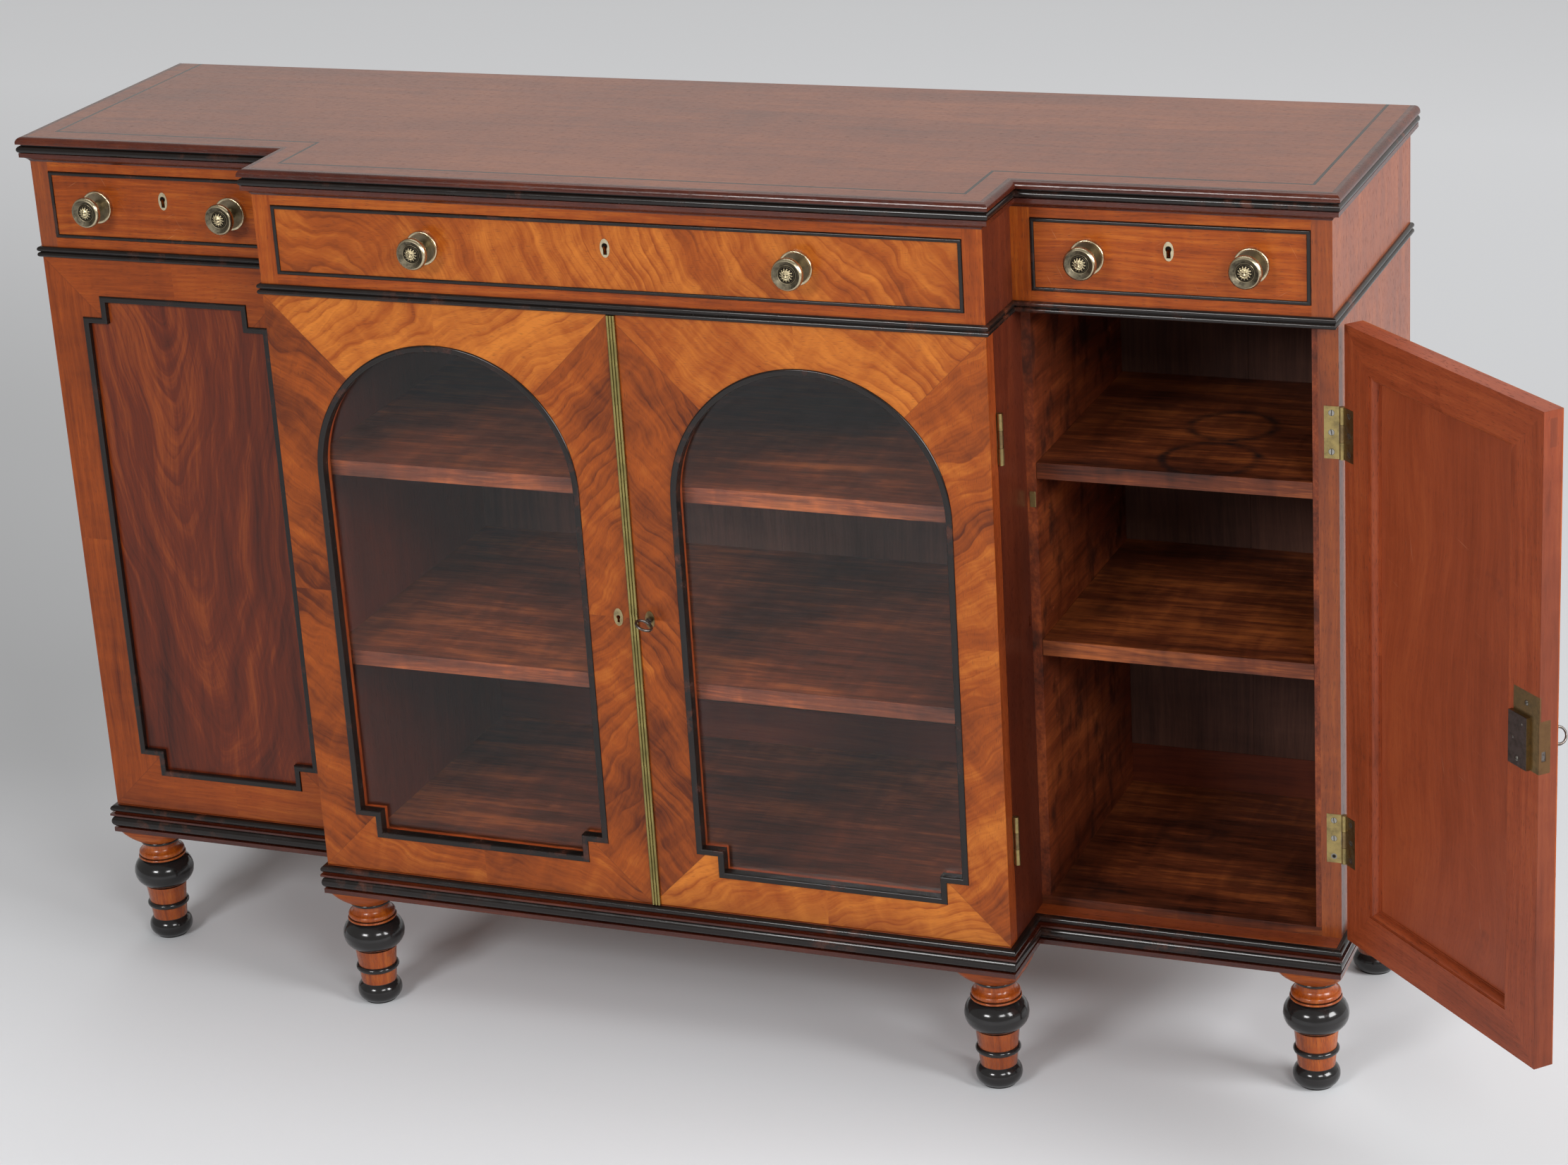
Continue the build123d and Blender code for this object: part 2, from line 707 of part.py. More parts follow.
wing_middle = (wing_drawer_left + wing_drawer_right) / 2
wing_knob_offset = (wing_drawer_right - wing_drawer_left) * wing_knob_share
wing_knobs = (wing_middle - wing_knob_offset, wing_middle + wing_knob_offset)
centre_knob_offset = centre_drawer_half * centre_knob_share
drawer("drawer_right", wing_drawer_left, wing_drawer_right, 0, drawer_back, wing_knobs)
drawer(
    "drawer_centre", -centre_drawer_half, centre_drawer_half, -break_depth, drawer_back,
    (-centre_knob_offset, centre_knob_offset),
)
drawer("drawer_left", -wing_drawer_right, -wing_drawer_left, 0, drawer_back, [-x for x in wing_knobs])


def notched(left, right, low, high, low_only):
    """Sight outline with stepped corners."""
    outline = rectangle_between(left, right, low, high)
    outline = outline - rectangle_between(left, left + notch_wide, low, low + notch_high)
    outline = outline - rectangle_between(right - notch_wide, right, low, low + notch_high)
    if not low_only:
        outline = outline - rectangle_between(left, left + notch_wide, high - notch_high, high)
        outline = outline - rectangle_between(right - notch_wide, right, high - notch_high, high)
    return outline


def bead_ring(outline, y_front, depth):
    ring = outline - offset(outline, -door_bead_width, kind=Kind.INTERSECTION)
    bead = front_face(ring, y_front - door_bead_out, depth + door_bead_out)
    return fillet(bead.faces().sort_by(Axis.Y)[0].edges(), door_bead_round)


def through_tenon(x_low, x_high, front, z_low):
    tenon_back = front + tenon_front + tenon_thickness
    return board(x_low, x_high, front + tenon_front, tenon_back, z_low, z_low + tenon_height)


def wing_door_frame(x_low, x_high):
    stile_near = board(x_low, wing_sight_left, 0, door_thickness, door_bottom, door_top)
    stile_far = board(wing_sight_right, x_high, 0, door_thickness, door_bottom, door_top)
    rail_low = board(wing_sight_left, wing_sight_right, 0, door_thickness, door_bottom, wing_sight_low)
    rail_high = board(wing_sight_left, wing_sight_right, 0, door_thickness, wing_sight_high, door_top)
    sight = notched(wing_sight_left, wing_sight_right, wing_sight_low, wing_sight_high, False)
    corners = rectangle_between(wing_sight_left, wing_sight_right, wing_sight_low, wing_sight_high) - sight
    ears = front_face(corners, 0, wing_bead_depth)
    for ear in ears.solids():
        if ear.center().Z < key_height:
            rail_low = rail_low + ear
        else:
            rail_high = rail_high + ear
    tenon_low = through_tenon(x_low, x_high, 0, door_bottom + tenon_from_end)
    tenon_high = through_tenon(x_low, x_high, 0, door_top - tenon_from_end - tenon_height)
    stile_near = stile_near - tenon_low - tenon_high
    stile_far = stile_far - tenon_low - tenon_high
    rail_low = rail_low + tenon_low
    rail_high = rail_high + tenon_high
    panel = board(
        wing_sight_left - panel_groove, wing_sight_right + panel_groove,
        wing_bead_depth, wing_bead_depth + panel_thickness,
        wing_sight_low - panel_groove, wing_sight_high + panel_groove,
    )
    members = [stile_near - panel, stile_far - panel, rail_low - panel, rail_high - panel]
    return members, panel, bead_ring(sight, 0, wing_bead_depth)


def glazed_door_frame(x_low, x_high):
    front = -break_depth
    back = front + door_thickness
    middle = (centre_sight_left + centre_sight_right) / 2
    spring = arch_top - arch_radius
    opening = notched(centre_sight_left, centre_sight_right, centre_sight_low, spring, True)
    opening = opening + Pos(middle, spring) * Circle(arch_radius)
    stile_near = board(x_low, centre_sight_left, front, back, door_bottom, door_top)
    stile_far = board(centre_sight_right, x_high, front, back, door_bottom, door_top)
    rail_low_top = centre_sight_low + notch_high
    rail_low = board(centre_sight_left, centre_sight_right, front, back, door_bottom, rail_low_top)
    rail_high = board(centre_sight_left, centre_sight_right, front, back, spring, door_top)
    hole = front_face(opening, front, door_thickness)
    tenon_low = through_tenon(x_low, x_high, front, door_bottom + tenon_from_end)
    tenon_high = through_tenon(x_low, x_high, front, door_top - tenon_from_end - tenon_height)
    stile_near = stile_near - tenon_low - tenon_high
    stile_far = stile_far - tenon_low - tenon_high
    rail_low = rail_low - hole + tenon_low
    rail_high = rail_high - hole + tenon_high
    glass_outline = offset(opening, -glass_gap, kind=Kind.INTERSECTION)
    glass_front = front + glazing_depth
    glass = front_face(glass_outline, glass_front, glass_thickness)
    strip_ring = opening - offset(opening, -glazing_strip_width, kind=Kind.INTERSECTION)
    strip = front_face(strip_ring, glass_front + glass_thickness, glazing_strip_depth)
    members = [stile_near, stile_far, rail_low, rail_high, strip]
    return members, glass, bead_ring(opening, front, glazing_depth)


def hinge(x_edge, y_joint, z_middle):
    """Case leaf, door leaf and pin of one butt hinge standing at a right-hand edge."""
    axis_x = x_edge + hinge_axis_out
    z_low = z_middle - hinge_length / 2
    z_high = z_middle + hinge_length / 2
    middle_low = z_middle - hinge_middle / 2
    middle_high = z_middle + hinge_middle / 2
    bore = Pos(axis_x, y_joint, z_middle) * Cylinder(hinge_pin_radius + hinge_pin_clearance, hinge_length)
    leaf_left = x_edge - hinge_leaf_width

    def barrel(low, high, y_low, y_high):
        tube = Pos(axis_x, y_joint, (low + high) / 2) * Cylinder(hinge_barrel_radius, high - low)
        return tube + board(x_edge, axis_x, y_low, y_high, low, high)

    case_low = y_joint + hinge_leaf_gap / 2
    case_high = case_low + hinge_leaf_thickness
    case_leaf = board(leaf_left, x_edge, case_low, case_high, z_low, z_high)
    case_leaf = case_leaf + barrel(z_low, middle_low - hinge_barrel_gap, case_low, case_high)
    case_leaf = case_leaf + barrel(middle_high + hinge_barrel_gap, z_high, case_low, case_high)
    door_high = y_joint - hinge_leaf_gap / 2
    door_low = door_high - hinge_leaf_thickness
    door_leaf = board(leaf_left, x_edge, door_low, door_high, z_low, z_high)
    door_leaf = door_leaf + barrel(middle_low, middle_high, door_low, door_high)
    pin = Pos(axis_x, y_joint, z_middle) * Cylinder(hinge_pin_radius, hinge_length)
    return case_leaf - bore, door_leaf - bore, pin


hinge_heights = (door_bottom + hinge_from_end, door_top - hinge_from_end)
joint_y = door_thickness + door_gap / 2
wing_case_leaves = []
wing_door_leaves = []
centre_case_leaves = []
centre_door_leaves = []
pins = []
for z in hinge_heights:
    case_leaf, door_leaf, pin = hinge(half_width, joint_y, z)
    wing_case_leaves.append(case_leaf)
    wing_door_leaves.append(door_leaf)
    pins.append(pin)
    side_right = side_right - case_leaf
    case_leaf, door_leaf, pin = hinge(centre_half, joint_y - break_depth, z)
    centre_case_leaves.append(case_leaf)
    centre_door_leaves.append(door_leaf)
    pins.append(pin)
    divider_right = divider_right - case_leaf
case_leaves = wing_case_leaves + centre_case_leaves
pieces["hinge_leaves_case"] = case_leaves + [mirrored(leaf) for leaf in case_leaves]
pieces["hinge_pins"] = pins + [mirrored(pin) for pin in pins]


def lock_parts(x_edge, front):
    """Box lock at a left-hand closing edge: case, bolt, the spaces that bolt and bit move in, and key."""
    back = front + door_thickness
    key_x = x_edge + key_inset
    lock_far = x_edge + lock_width
    lock_high = lock_low + lock_height
    plate_far = x_edge + lock_plate_width
    body = board(x_edge, lock_far, back - lock_depth, back, lock_low, lock_high)
    body = body + board(x_edge + lock_box_inset, lock_far, back, back + lock_box_out, lock_low, lock_high)
    plate_high = lock_low + lock_plate_height
    body = body + board(x_edge, plate_far, back - lock_plate_thickness, back, lock_low, plate_high)
    bolt_front = back - bolt_from_back - bolt_thickness
    bolt_low = lock_low + bolt_rise
    bolt = board(
        x_edge + bolt_set_back, x_edge + bolt_set_back + bolt_length,
        bolt_front, bolt_front + bolt_thickness, bolt_low, bolt_low + bolt_height,
    )
    channel = board(
        x_edge, x_edge + bolt_set_back + bolt_length + bolt_clearance,
        bolt_front - bolt_clearance, bolt_front + bolt_thickness + bolt_clearance,
        bolt_low - bolt_clearance, bolt_low + bolt_height + bolt_clearance,
    )
    mortise = board(
        x_edge - bolt_mortise_depth, x_edge,
        bolt_front - bolt_mortise_margin, bolt_front + bolt_thickness + bolt_mortise_margin,
        bolt_low - bolt_mortise_margin, bolt_low + bolt_height + bolt_mortise_margin,
    )
    shank_front = front - key_outer_reach
    shank_back = front + key_inner_reach
    shank_place = Pos(key_x, (shank_front + shank_back) / 2, key_height) * Rot(90, 0, 0)
    shank = shank_place * Cylinder(key_radius, shank_back - shank_front)
    collar_place = Pos(key_x, front - key_outer_reach / 2, key_height) * Rot(90, 0, 0)
    collar = collar_place * Cylinder(key_collar_radius, key_collar_length)
    bow_place = Pos(key_x, shank_front - key_bow_radius, key_height) * Rot(0, key_bow_angle, 0)
    bow = bow_place * Torus(key_bow_radius, key_bow_wire)
    bit_back = shank_back - key_bit_from_end
    bit_middle = bit_back - key_bit_length / 2
    bit_place = Pos(key_x, bit_middle, key_height) * Rot(0, key_bow_angle, 0)
    bit = bit_place * Pos(key_bit_reach / 2, 0, 0) * Box(key_bit_reach, key_bit_length, key_bit_thickness)
    sweep_place = Pos(key_x, bit_middle, key_height) * Rot(90, 0, 0)
    bit_sweep = sweep_place * Cylinder(key_bit_reach + bit_room, key_bit_length + bit_room + bit_room)
    channel = channel + bit_sweep
    body = body - channel - keyhole(key_x, key_height, front, door_thickness)
    return body, bolt, channel, mortise, shank + collar + bow + bit


# Right wing door, made closed.
wing_edge = centre_half + door_side_gap
wing_members, wing_panel, wing_bead = wing_door_frame(wing_edge, half_width)
lock_body, wing_bolt, wing_channel, wing_mortise, wing_key = lock_parts(wing_edge, 0)
divider_right = divider_right - wing_mortise
wing_plate = escutcheon(wing_edge + key_inset, key_height, 0)
wing_keyhole = keyhole(wing_edge + key_inset, key_height, 0, door_thickness)
lock_spaces = [lock_body, wing_channel, wing_plate, wing_keyhole]
right_members = [member - lock_spaces for member in wing_members]
left_members = [member for member in wing_members]
for leaf in wing_door_leaves:
    right_members = [member - leaf for member in right_members]
    left_members = [member - leaf for member in left_members]
hinge_x = half_width + hinge_axis_out
opened = Pos(hinge_x, joint_y, 0) * Rot(0, 0, rest_opening_angle) * Pos(-hinge_x, -joint_y, 0)
pieces["door_wing_right_frame"] = [opened * member for member in right_members]
pieces["door_wing_right_panel"] = [opened * wing_panel]
pieces["door_wing_right_bead"] = [opened * wing_bead]
pieces["door_wing_right_brass"] = [opened * piece for piece in wing_door_leaves + [wing_plate, lock_body]]
pieces["door_wing_right_bolt"] = [opened * wing_bolt]
pieces["door_wing_right_key"] = [opened * wing_key]
pieces["door_wing_left_frame"] = [mirrored(member) for member in left_members]
pieces["door_wing_left_panel"] = [mirrored(wing_panel)]
pieces["door_wing_left_bead"] = [mirrored(wing_bead)]
pieces["door_wing_left_hinge_leaves"] = [mirrored(leaf) for leaf in wing_door_leaves]

# Centre doors: the right one carries the brass strip over the joint, its stile reaching past the middle.
centre_right_edge = joint_line + meeting_gap
right_glazed, glass, glazed_bead = glazed_door_frame(centre_right_edge, centre_half)
left_glazed, glass_left, bead_left = glazed_door_frame(-joint_line, centre_half)
centre_lock = lock_parts(centre_right_edge, -break_depth)
lock_body, centre_bolt, centre_channel, centre_mortise, centre_key = centre_lock
centre_key_x = centre_right_edge + key_inset
centre_plate = escutcheon(centre_key_x, key_height, -break_depth)
centre_keyhole = keyhole(centre_key_x, key_height, -break_depth, door_thickness)
lock_spaces = [lock_body, centre_channel, centre_plate, centre_keyhole]
right_glazed = [member - lock_spaces for member in right_glazed]
left_plate = escutcheon(centre_key_x, key_height, -break_depth)
left_keyhole = keyhole(centre_key_x, key_height, -break_depth, keyhole_depth)
left_glazed = [member - left_plate - left_keyhole - mirrored(centre_mortise) for member in left_glazed]
for leaf in centre_door_leaves:
    right_glazed = [member - leaf for member in right_glazed]
    left_glazed = [member - leaf for member in left_glazed]
pieces["door_centre_right_frame"] = right_glazed
pieces["door_centre_right_glass"] = [glass]
pieces["door_centre_right_bead"] = [glazed_bead]
pieces["door_centre_right_brass"] = centre_door_leaves + [centre_plate, lock_body]
pieces["door_centre_right_bolt"] = [centre_bolt]
pieces["door_centre_right_key"] = [centre_key]
reed_width = (strip_width - strip_reed_gap * (strip_reed_count - 1)) / strip_reed_count
strip = board(
    centre_right_edge, centre_right_edge + strip_width,
    -break_depth - strip_out + reed_width / 2, -break_depth, door_bottom, door_top,
)
for index in range(strip_reed_count):
    reed_x = centre_right_edge + reed_width / 2 + index * (reed_width + strip_reed_gap)
    reed = Pos(reed_x, -break_depth - strip_out + reed_width / 2, (door_bottom + door_top) / 2)
    strip = strip + reed * Cylinder(reed_width / 2, door_top - door_bottom)
pieces["door_centre_right_strip"] = [strip]
pieces["door_centre_left_frame"] = [mirrored(member) for member in left_glazed]
pieces["door_centre_left_glass"] = [mirrored(glass_left)]
pieces["door_centre_left_bead"] = [mirrored(bead_left)]
pieces["door_centre_left_brass"] = [mirrored(leaf) for leaf in centre_door_leaves] + [mirrored(left_plate)]

pieces["case_side_right"] = [side_right]
pieces["case_side_left"] = [mirrored(side_right)]
pieces["divider_right"] = [divider_right]
pieces["divider_left"] = [mirrored(divider_right)]

# The origin is on the floor under the middle of the whole outline, the open door included.
os.makedirs("parts", exist_ok=True)
everything = Compound([solid for solids in pieces.values() for solid in solids])
box = everything.bounding_box()
to_origin = Pos(-(box.min.X + box.max.X) / 2, -(box.min.Y + box.max.Y) / 2, 0)
for name, solids in pieces.items():
    flat = [part for solid in solids for part in solid.solids()]
    placed = [to_origin * part for part in flat]
    node = placed[0] if len(placed) == 1 else Compound(placed)
    export_step(node, "parts/" + name + ".step")
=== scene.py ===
import bpy
import bmesh
import math
from mathutils import Matrix, Vector


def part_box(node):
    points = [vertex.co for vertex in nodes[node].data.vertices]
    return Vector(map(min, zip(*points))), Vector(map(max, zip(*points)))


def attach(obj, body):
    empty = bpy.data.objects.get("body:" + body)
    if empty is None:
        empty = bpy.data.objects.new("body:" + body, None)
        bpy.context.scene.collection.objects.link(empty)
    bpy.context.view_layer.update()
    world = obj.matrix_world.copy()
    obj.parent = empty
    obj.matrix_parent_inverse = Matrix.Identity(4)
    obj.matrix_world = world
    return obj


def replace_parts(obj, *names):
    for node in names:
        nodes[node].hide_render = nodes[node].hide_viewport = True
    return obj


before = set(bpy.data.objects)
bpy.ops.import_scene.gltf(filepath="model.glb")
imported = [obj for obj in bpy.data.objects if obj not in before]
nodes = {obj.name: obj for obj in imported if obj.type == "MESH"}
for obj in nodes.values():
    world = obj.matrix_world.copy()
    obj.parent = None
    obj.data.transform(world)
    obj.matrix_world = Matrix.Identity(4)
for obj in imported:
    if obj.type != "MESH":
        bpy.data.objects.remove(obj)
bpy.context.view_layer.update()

# metres about the cabinet's own middle line, y from the wing fronts and z from the floor
plan = {"wingHalf": 0.681, "wingInner": 0.3775, "centreHalf": 0.377, "centreFront": -0.08, "wingFront": 0.0,
        "plinthBack": 0.318, "doorHeights": (0.1685, 0.7915)}
plinthLow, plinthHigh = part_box("plinth_frame")
shiftX = (plinthLow[0] + plinthHigh[0]) / 2
shiftY = plinthHigh[1] - plan["plinthBack"]
openDoor = {"hingeX": 0.6843, "hingeY": 0.0205, "angle": math.radians(136.5)}


def turnPlace():  # from where the right wing door would be if shut to where it stands open
    hinge = Matrix.Translation((openDoor["hingeX"], openDoor["hingeY"], 0))
    return closedPlace @ hinge @ Matrix.Rotation(openDoor["angle"], 4, "Z") @ hinge.inverted()


closedPlace = Matrix.Translation((shiftX, shiftY, 0))
openPlace = turnPlace()
print("stage: frame loaded")


class Signal:  # what leaves a node, so that sums and products of signals can be written as such
    def __init__(self, socket):
        self.socket = socket

    def __add__(self, other):
        return calc("ADD", self, other)

    def __radd__(self, other):
        return calc("ADD", other, self)

    def __sub__(self, other):
        return calc("SUBTRACT", self, other)

    def __rsub__(self, other):
        return calc("SUBTRACT", other, self)

    def __mul__(self, other):
        return calc("MULTIPLY", self, other)

    def __truediv__(self, other):
        return calc("DIVIDE", self, other)

    def __lt__(self, other):
        return calc("LESS_THAN", self, other)

    def __gt__(self, other):
        return calc("GREATER_THAN", self, other)

    def __abs__(self):
        return calc("ABSOLUTE", self)


def put(value, socket):
    if isinstance(value, Signal):
        socket.id_data.links.new(value.socket, socket)
    elif socket.type == "RGBA" and len(value) == 3:
        socket.default_value = (*value, 1)
    else:
        socket.default_value = value


def leaving(node):  # a node's signals, by name and by place
    signals = {socket.name: Signal(socket) for socket in node.outputs}
    signals.update((place, Signal(socket)) for place, socket in enumerate(node.outputs))
    return signals


def newNode(tree, kind, inputs=None, **settings):
    node = tree.nodes.new(kind)
    for name, setting in settings.items():
        setattr(node, name, setting)
    for key, value in (inputs or {}).items():
        put(value, node.inputs[key])
    return leaving(node)


def fed(kind, inputs, **settings):  # a new shader node in the tree that its inputs come from
    tree = next(value.socket.id_data for value in inputs.values() if isinstance(value, Signal))
    return newNode(tree, "ShaderNode" + kind, inputs, **settings)


def calc(operation, *values):
    return fed("Math", dict(enumerate(values)), operation=operation)[0]


def highest(value, *others):
    for other in others:
        value = calc("MAXIMUM", value, other)
    return value


def span(first, second):  # length of two steps at right angles
    return calc("SQRT", first * first + second * second)


def parts(vector):
    out = fed("SeparateXYZ", {0: vector})
    return out[0], out[1], out[2]


def joined(*values):
    return fed("CombineXYZ", dict(enumerate(values)))[0]


def noise(vector, scale, detail=2.0, roughness=0.5, distortion=0.0):
    return fed("TexNoise", {"Vector": vector, "Scale": scale, "Detail": detail, "Roughness": roughness,
                            "Distortion": distortion})[0]


def field(x, y, z, *recipe):  # noise of a point whose coordinates are scaled already
    return noise(joined(x, y, z), 1.0, *recipe)


def remap(value, low, high, toLow=0.0, toHigh=1.0, smooth=False):
    kind = "SMOOTHSTEP" if smooth else "LINEAR"
    return fed("MapRange", dict(enumerate((value, low, high, toLow, toHigh))), interpolation_type=kind)[0]


def falling(value, low, high):
    return remap(value, low, high, 1.0, 0.0)


def between(mask, low, high):
    return remap(mask, 0.0, 1.0, low, high)


def blendColour(amount, first, second):
    return fed("Mix", {0: amount, 6: first, 7: second}, data_type="RGBA")[2]


def blendValue(amount, first, second):
    return fed("Mix", {0: amount, 2: first, 3: second})[0]


def slanted(across, up, angle):  # a point's steps along and across a direction
    cosine, sine = calc("COSINE", angle), calc("SINE", angle)
    return across * cosine + up * sine, up * cosine - across * sine


def addInput(tree, label, kind, value):
    socket = tree.interface.new_socket(label, in_out="INPUT", socket_type="NodeSocket" + kind)
    if value is not None:
        socket.default_value = value
    return socket.identifier


def newGroup(name, outputs, **inputs):  # an input is a number, a colour, or None for a vector
    tree = bpy.data.node_groups.new(name, "ShaderNodeTree")
    for label, value in inputs.items():
        addInput(tree, label, "Vector" if value is None else "Color" if isinstance(value, tuple) else "Float", value)
    for label in outputs.split():
        kind = "Color" if label == "Color" else "Float"
        tree.interface.new_socket(label, in_out="OUTPUT", socket_type="NodeSocket" + kind)
    return newNode(tree, "NodeGroupInput")


def closeGroup(**outputs):
    tree = next(iter(outputs.values())).socket.id_data
    newNode(tree, "NodeGroupOutput", outputs)
    return tree


def useGroup(group, **values):
    return fed("Group", values, node_tree=group)


def newMaterial(name, coat=0.0, coatRough=0.1, specular=0.5, metallic=0.0):
    material = bpy.data.materials.new(name)
    material.use_nodes = True
    inputs = material.node_tree.nodes["Principled BSDF"].inputs
    for label, value in (("Metallic", metallic), ("Specular IOR Level", specular), ("Coat Weight", coat),
                         ("Coat Roughness", coatRough)):
        inputs[label].default_value = value
    return material


def dress(material, colour, roughness, height, distance, strength=1.0):
    inputs = material.node_tree.nodes["Principled BSDF"].inputs
    put(colour, inputs["Base Color"])
    put(roughness, inputs["Roughness"])
    put(fed("Bump", {"Distance": distance, "Strength": strength, "Height": height})[0], inputs["Normal"])
    return material


def dressTwoSides(material, onFace, back, face, roughness, distance):
    rough = blendValue(onFace, back["Roughness"] + roughness[0], face["Roughness"] + roughness[1])
    colour = blendColour(onFace, back["Color"], face["Color"])
    return dress(material, colour, rough, blendValue(onFace, back["Height"], face["Height"]), distance)


# surface point in metres about the cabinet's middle, with the open door as if it were shut
def cabinetPoint(material, turned=False):
    back = (openPlace if turned else closedPlace).inverted()
    point = newNode(material.node_tree, "ShaderNodeTexCoord")["Object"]
    return fed("Mapping", {"Location": back.translation, "Rotation": back.to_euler(), "Vector": point})[0]


def makeGrainGroup():  # fine lines, pores and soft clouds that run along the first coordinate
    given = newGroup("straightGrain", "Streak Pore Cloud Mottle", Along=0.0, Across=0.0, Depth=0.0, Seed=0.0,
                     Lines=1.0, Wander=0.02)
    along, depth = given["Along"], given["Depth"] + given["Seed"]
    drift = field(along * 2.6, given["Across"] * 4.0, depth) - 0.5
    across = given["Across"] + drift * given["Wander"]
    streak = field(along * 5.0, across * (given["Lines"] * 95.0), depth * 60.0, 6.0, 0.62)
    fleck = field(along * 24.0, across * 430.0, depth * 300.0, 3.0, 0.6)
    pore = field(along * 130.0, across * 1500.0, depth * 900.0, 1.0, 0.4)
    cloud = field(along * 2.4, across * 9.0, depth * 9.0, 3.0, 0.55, 0.6)
    mottle = field(along * 46.0, across * 12.0, depth * 12.0, 2.0, 0.5, 0.8)
    return closeGroup(Streak=remap(streak * 0.6 + fleck * 0.4, 0.34, 0.66), Pore=remap(pore, 0.60, 0.72), Cloud=cloud,
                      Mottle=mottle)


def makeFlameGroup():  # curly figure: broad soft bands at a slant, a few thin dark lines, and a ripple across them
    given = newGroup("flameFigure", "Band Line Fine Cloud Fire", Across=0.0, Up=0.0, Seed=0.0, Slant=0.0,
                     Spacing=0.03, Swirl=0.07)
    x, z, seed = given["Across"], given["Up"], given["Seed"]

    def spread(scale, *recipe):
        return field(x * scale, z * scale, seed, *recipe) - 0.5

    onward, aside = slanted(x, z, given["Slant"])
    swirl = spread(4.5, 1.0) + spread(13.0) * 0.42 + spread(42.0) * 0.09
    onward = onward + swirl * given["Swirl"]
    phase = onward / given["Spacing"] + spread(8.0) * 1.8
    band = field(phase, aside * 3.2, seed, 4.0, 0.58, 0.25)
    inside = calc("FRACT", phase * 2.3)
    line = calc("POWER", 1.0 - inside, 3.0) * remap(inside, 0.0, 0.07) * remap(spread(9.0), -0.1, 0.16)
    fine = field(onward * 300.0, aside * 16.0, seed, 4.0, 0.62)
    fire = field(onward * 20.0, aside * 55.0, seed, 3.0, 0.55, 0.6)
    return closeGroup(Band=band, Line=line, Fine=fine, Cloud=spread(5.5, 3.0, 0.55, 0.4) + 0.5, Fire=fire)


def flameValue(figure, strength=1.0):
    bands, lines, ripple, fine = 1.15 * strength, 0.4 * strength, 0.5 * strength, 0.6
    value = figure["Band"] * bands + figure["Line"] * -lines + figure["Fine"] * fine + figure["Cloud"]
    return value + figure["Fire"] * ripple + (0.5 - (bands + fine + 1.0 + ripple) / 2 + 0.12 * lines)


def makeToneGroup():  # three wood tones picked by one value, darkened by pores, dirt and painted shade
    given = newGroup("woodTone", "Color Roughness Height", Value=0.5, Pore=0.0, Dirt=0.0, Dark=(0.2, 0.05, 0.02, 1),
                     Middle=(0.4, 0.1, 0.03, 1), Light=(0.6, 0.2, 0.05, 1))
    value, pore, dirtAndShade = given["Value"], given["Pore"], given["Dirt"]
    low = blendColour(remap(value, 0.0, 0.5), given["Dark"], given["Middle"])
    colour = blendColour(remap(value, 0.5, 1.0), low, given["Light"])
    colour = blendColour(highest(pore * 0.45, dirtAndShade), colour, (0.020, 0.008, 0.006))
    return closeGroup(Color=colour, Roughness=pore * 0.2 + dirtAndShade * 0.25, Height=value - pore * 1.2)


def makeScratchGroup():  # short pale scratches in scattered patches, all near one direction
    given = newGroup("fineScratches", "Mask", Across=0.0, Up=0.0, Seed=0.0, Angle=0.4)
    across, up, seed = given["Across"], given["Up"], given["Seed"]
    onward, aside = slanted(across, up, given["Angle"])
    line = field(onward * 26.0, aside * 950.0, seed, 1.0, 0.5, 0.2)
    patch = field(across * 13.0, up * 13.0, seed, 1.0)
    return closeGroup(Mask=remap(line, 0.72, 0.80) * remap(patch, 0.52, 0.66))


def makeZoneGroup():  # which member of a mitred frame a point lies on: side or rail, near or far, low or high
    given = newGroup("mitreZones", "Side Far High Joint", Across=0.0, Up=0.0, Left=0.0, Right=1.0, Bottom=0.0, Top=1.0)
    fromLeft, fromRight = given["Across"] - given["Left"], given["Right"] - given["Across"]
    fromBottom, fromTop = given["Up"] - given["Bottom"], given["Top"] - given["Up"]
    nearSide, nearEnd = calc("MINIMUM", fromLeft, fromRight), calc("MINIMUM", fromBottom, fromTop)
    joint = falling(abs(nearSide - nearEnd), 0.0, 0.0009)
    return closeGroup(Side=nearSide < nearEnd, Far=fromRight < fromLeft, High=fromTop < fromBottom, Joint=joint)


def makeOutlineGroup():  # how far a point stands outside the breakfront plan, negative inside
    x, y, z = parts(newGroup("breakfrontReach", "Out", Vector=None)["Vector"])
    across = abs(x)
    wing = highest(across - plan["wingHalf"], y * -1.0)
    centre = highest(across - plan["centreHalf"], plan["centreFront"] - y)
    return closeGroup(Out=calc("MINIMUM", wing, centre))


def makePatinaGroup():  # cloudy tarnish and small dark specks on old brass
    given = newGroup("brassPatina", "Tarnish Amount Height", Vector=None, Scale=160.0, Specks=0.5)
    point, scale = given["Vector"], given["Scale"]
    tarnish = remap(noise(point, scale, 4.0, 0.65), 0.42, 0.68)
    speck = remap(noise(point, scale * 5.5, 2.0, 0.6), 0.6, 0.75)
    height = noise(point, scale * 3.0, 3.0, 0.6)
    return closeGroup(Tarnish=tarnish, Amount=highest(tarnish * 0.5, speck * given["Specks"]), Height=height)


def makeRingGroup():  # the ring that a wet glass leaves, broken and blurred
    given = newGroup("ringStain", "Mask", Vector=None, Centre=None, Radius=0.04, Width=0.004)
    point = given["Vector"]
    (x, y, z), (middleX, middleY, level) = parts(point), parts(given["Centre"])
    radius = span(x - middleX, y - middleY) + (noise(point, 30.0, 3.0, 0.6) - 0.5) * 0.006
    ring = remap(abs(radius - given["Radius"]), 0.0, given["Width"], 1.0, 0.0, smooth=True)
    broken = remap(noise(point, 55.0), 0.3, 0.62, 0.35, 1.0)
    return closeGroup(Mask=ring * falling(abs(z - level), 0.001, 0.003) * broken)


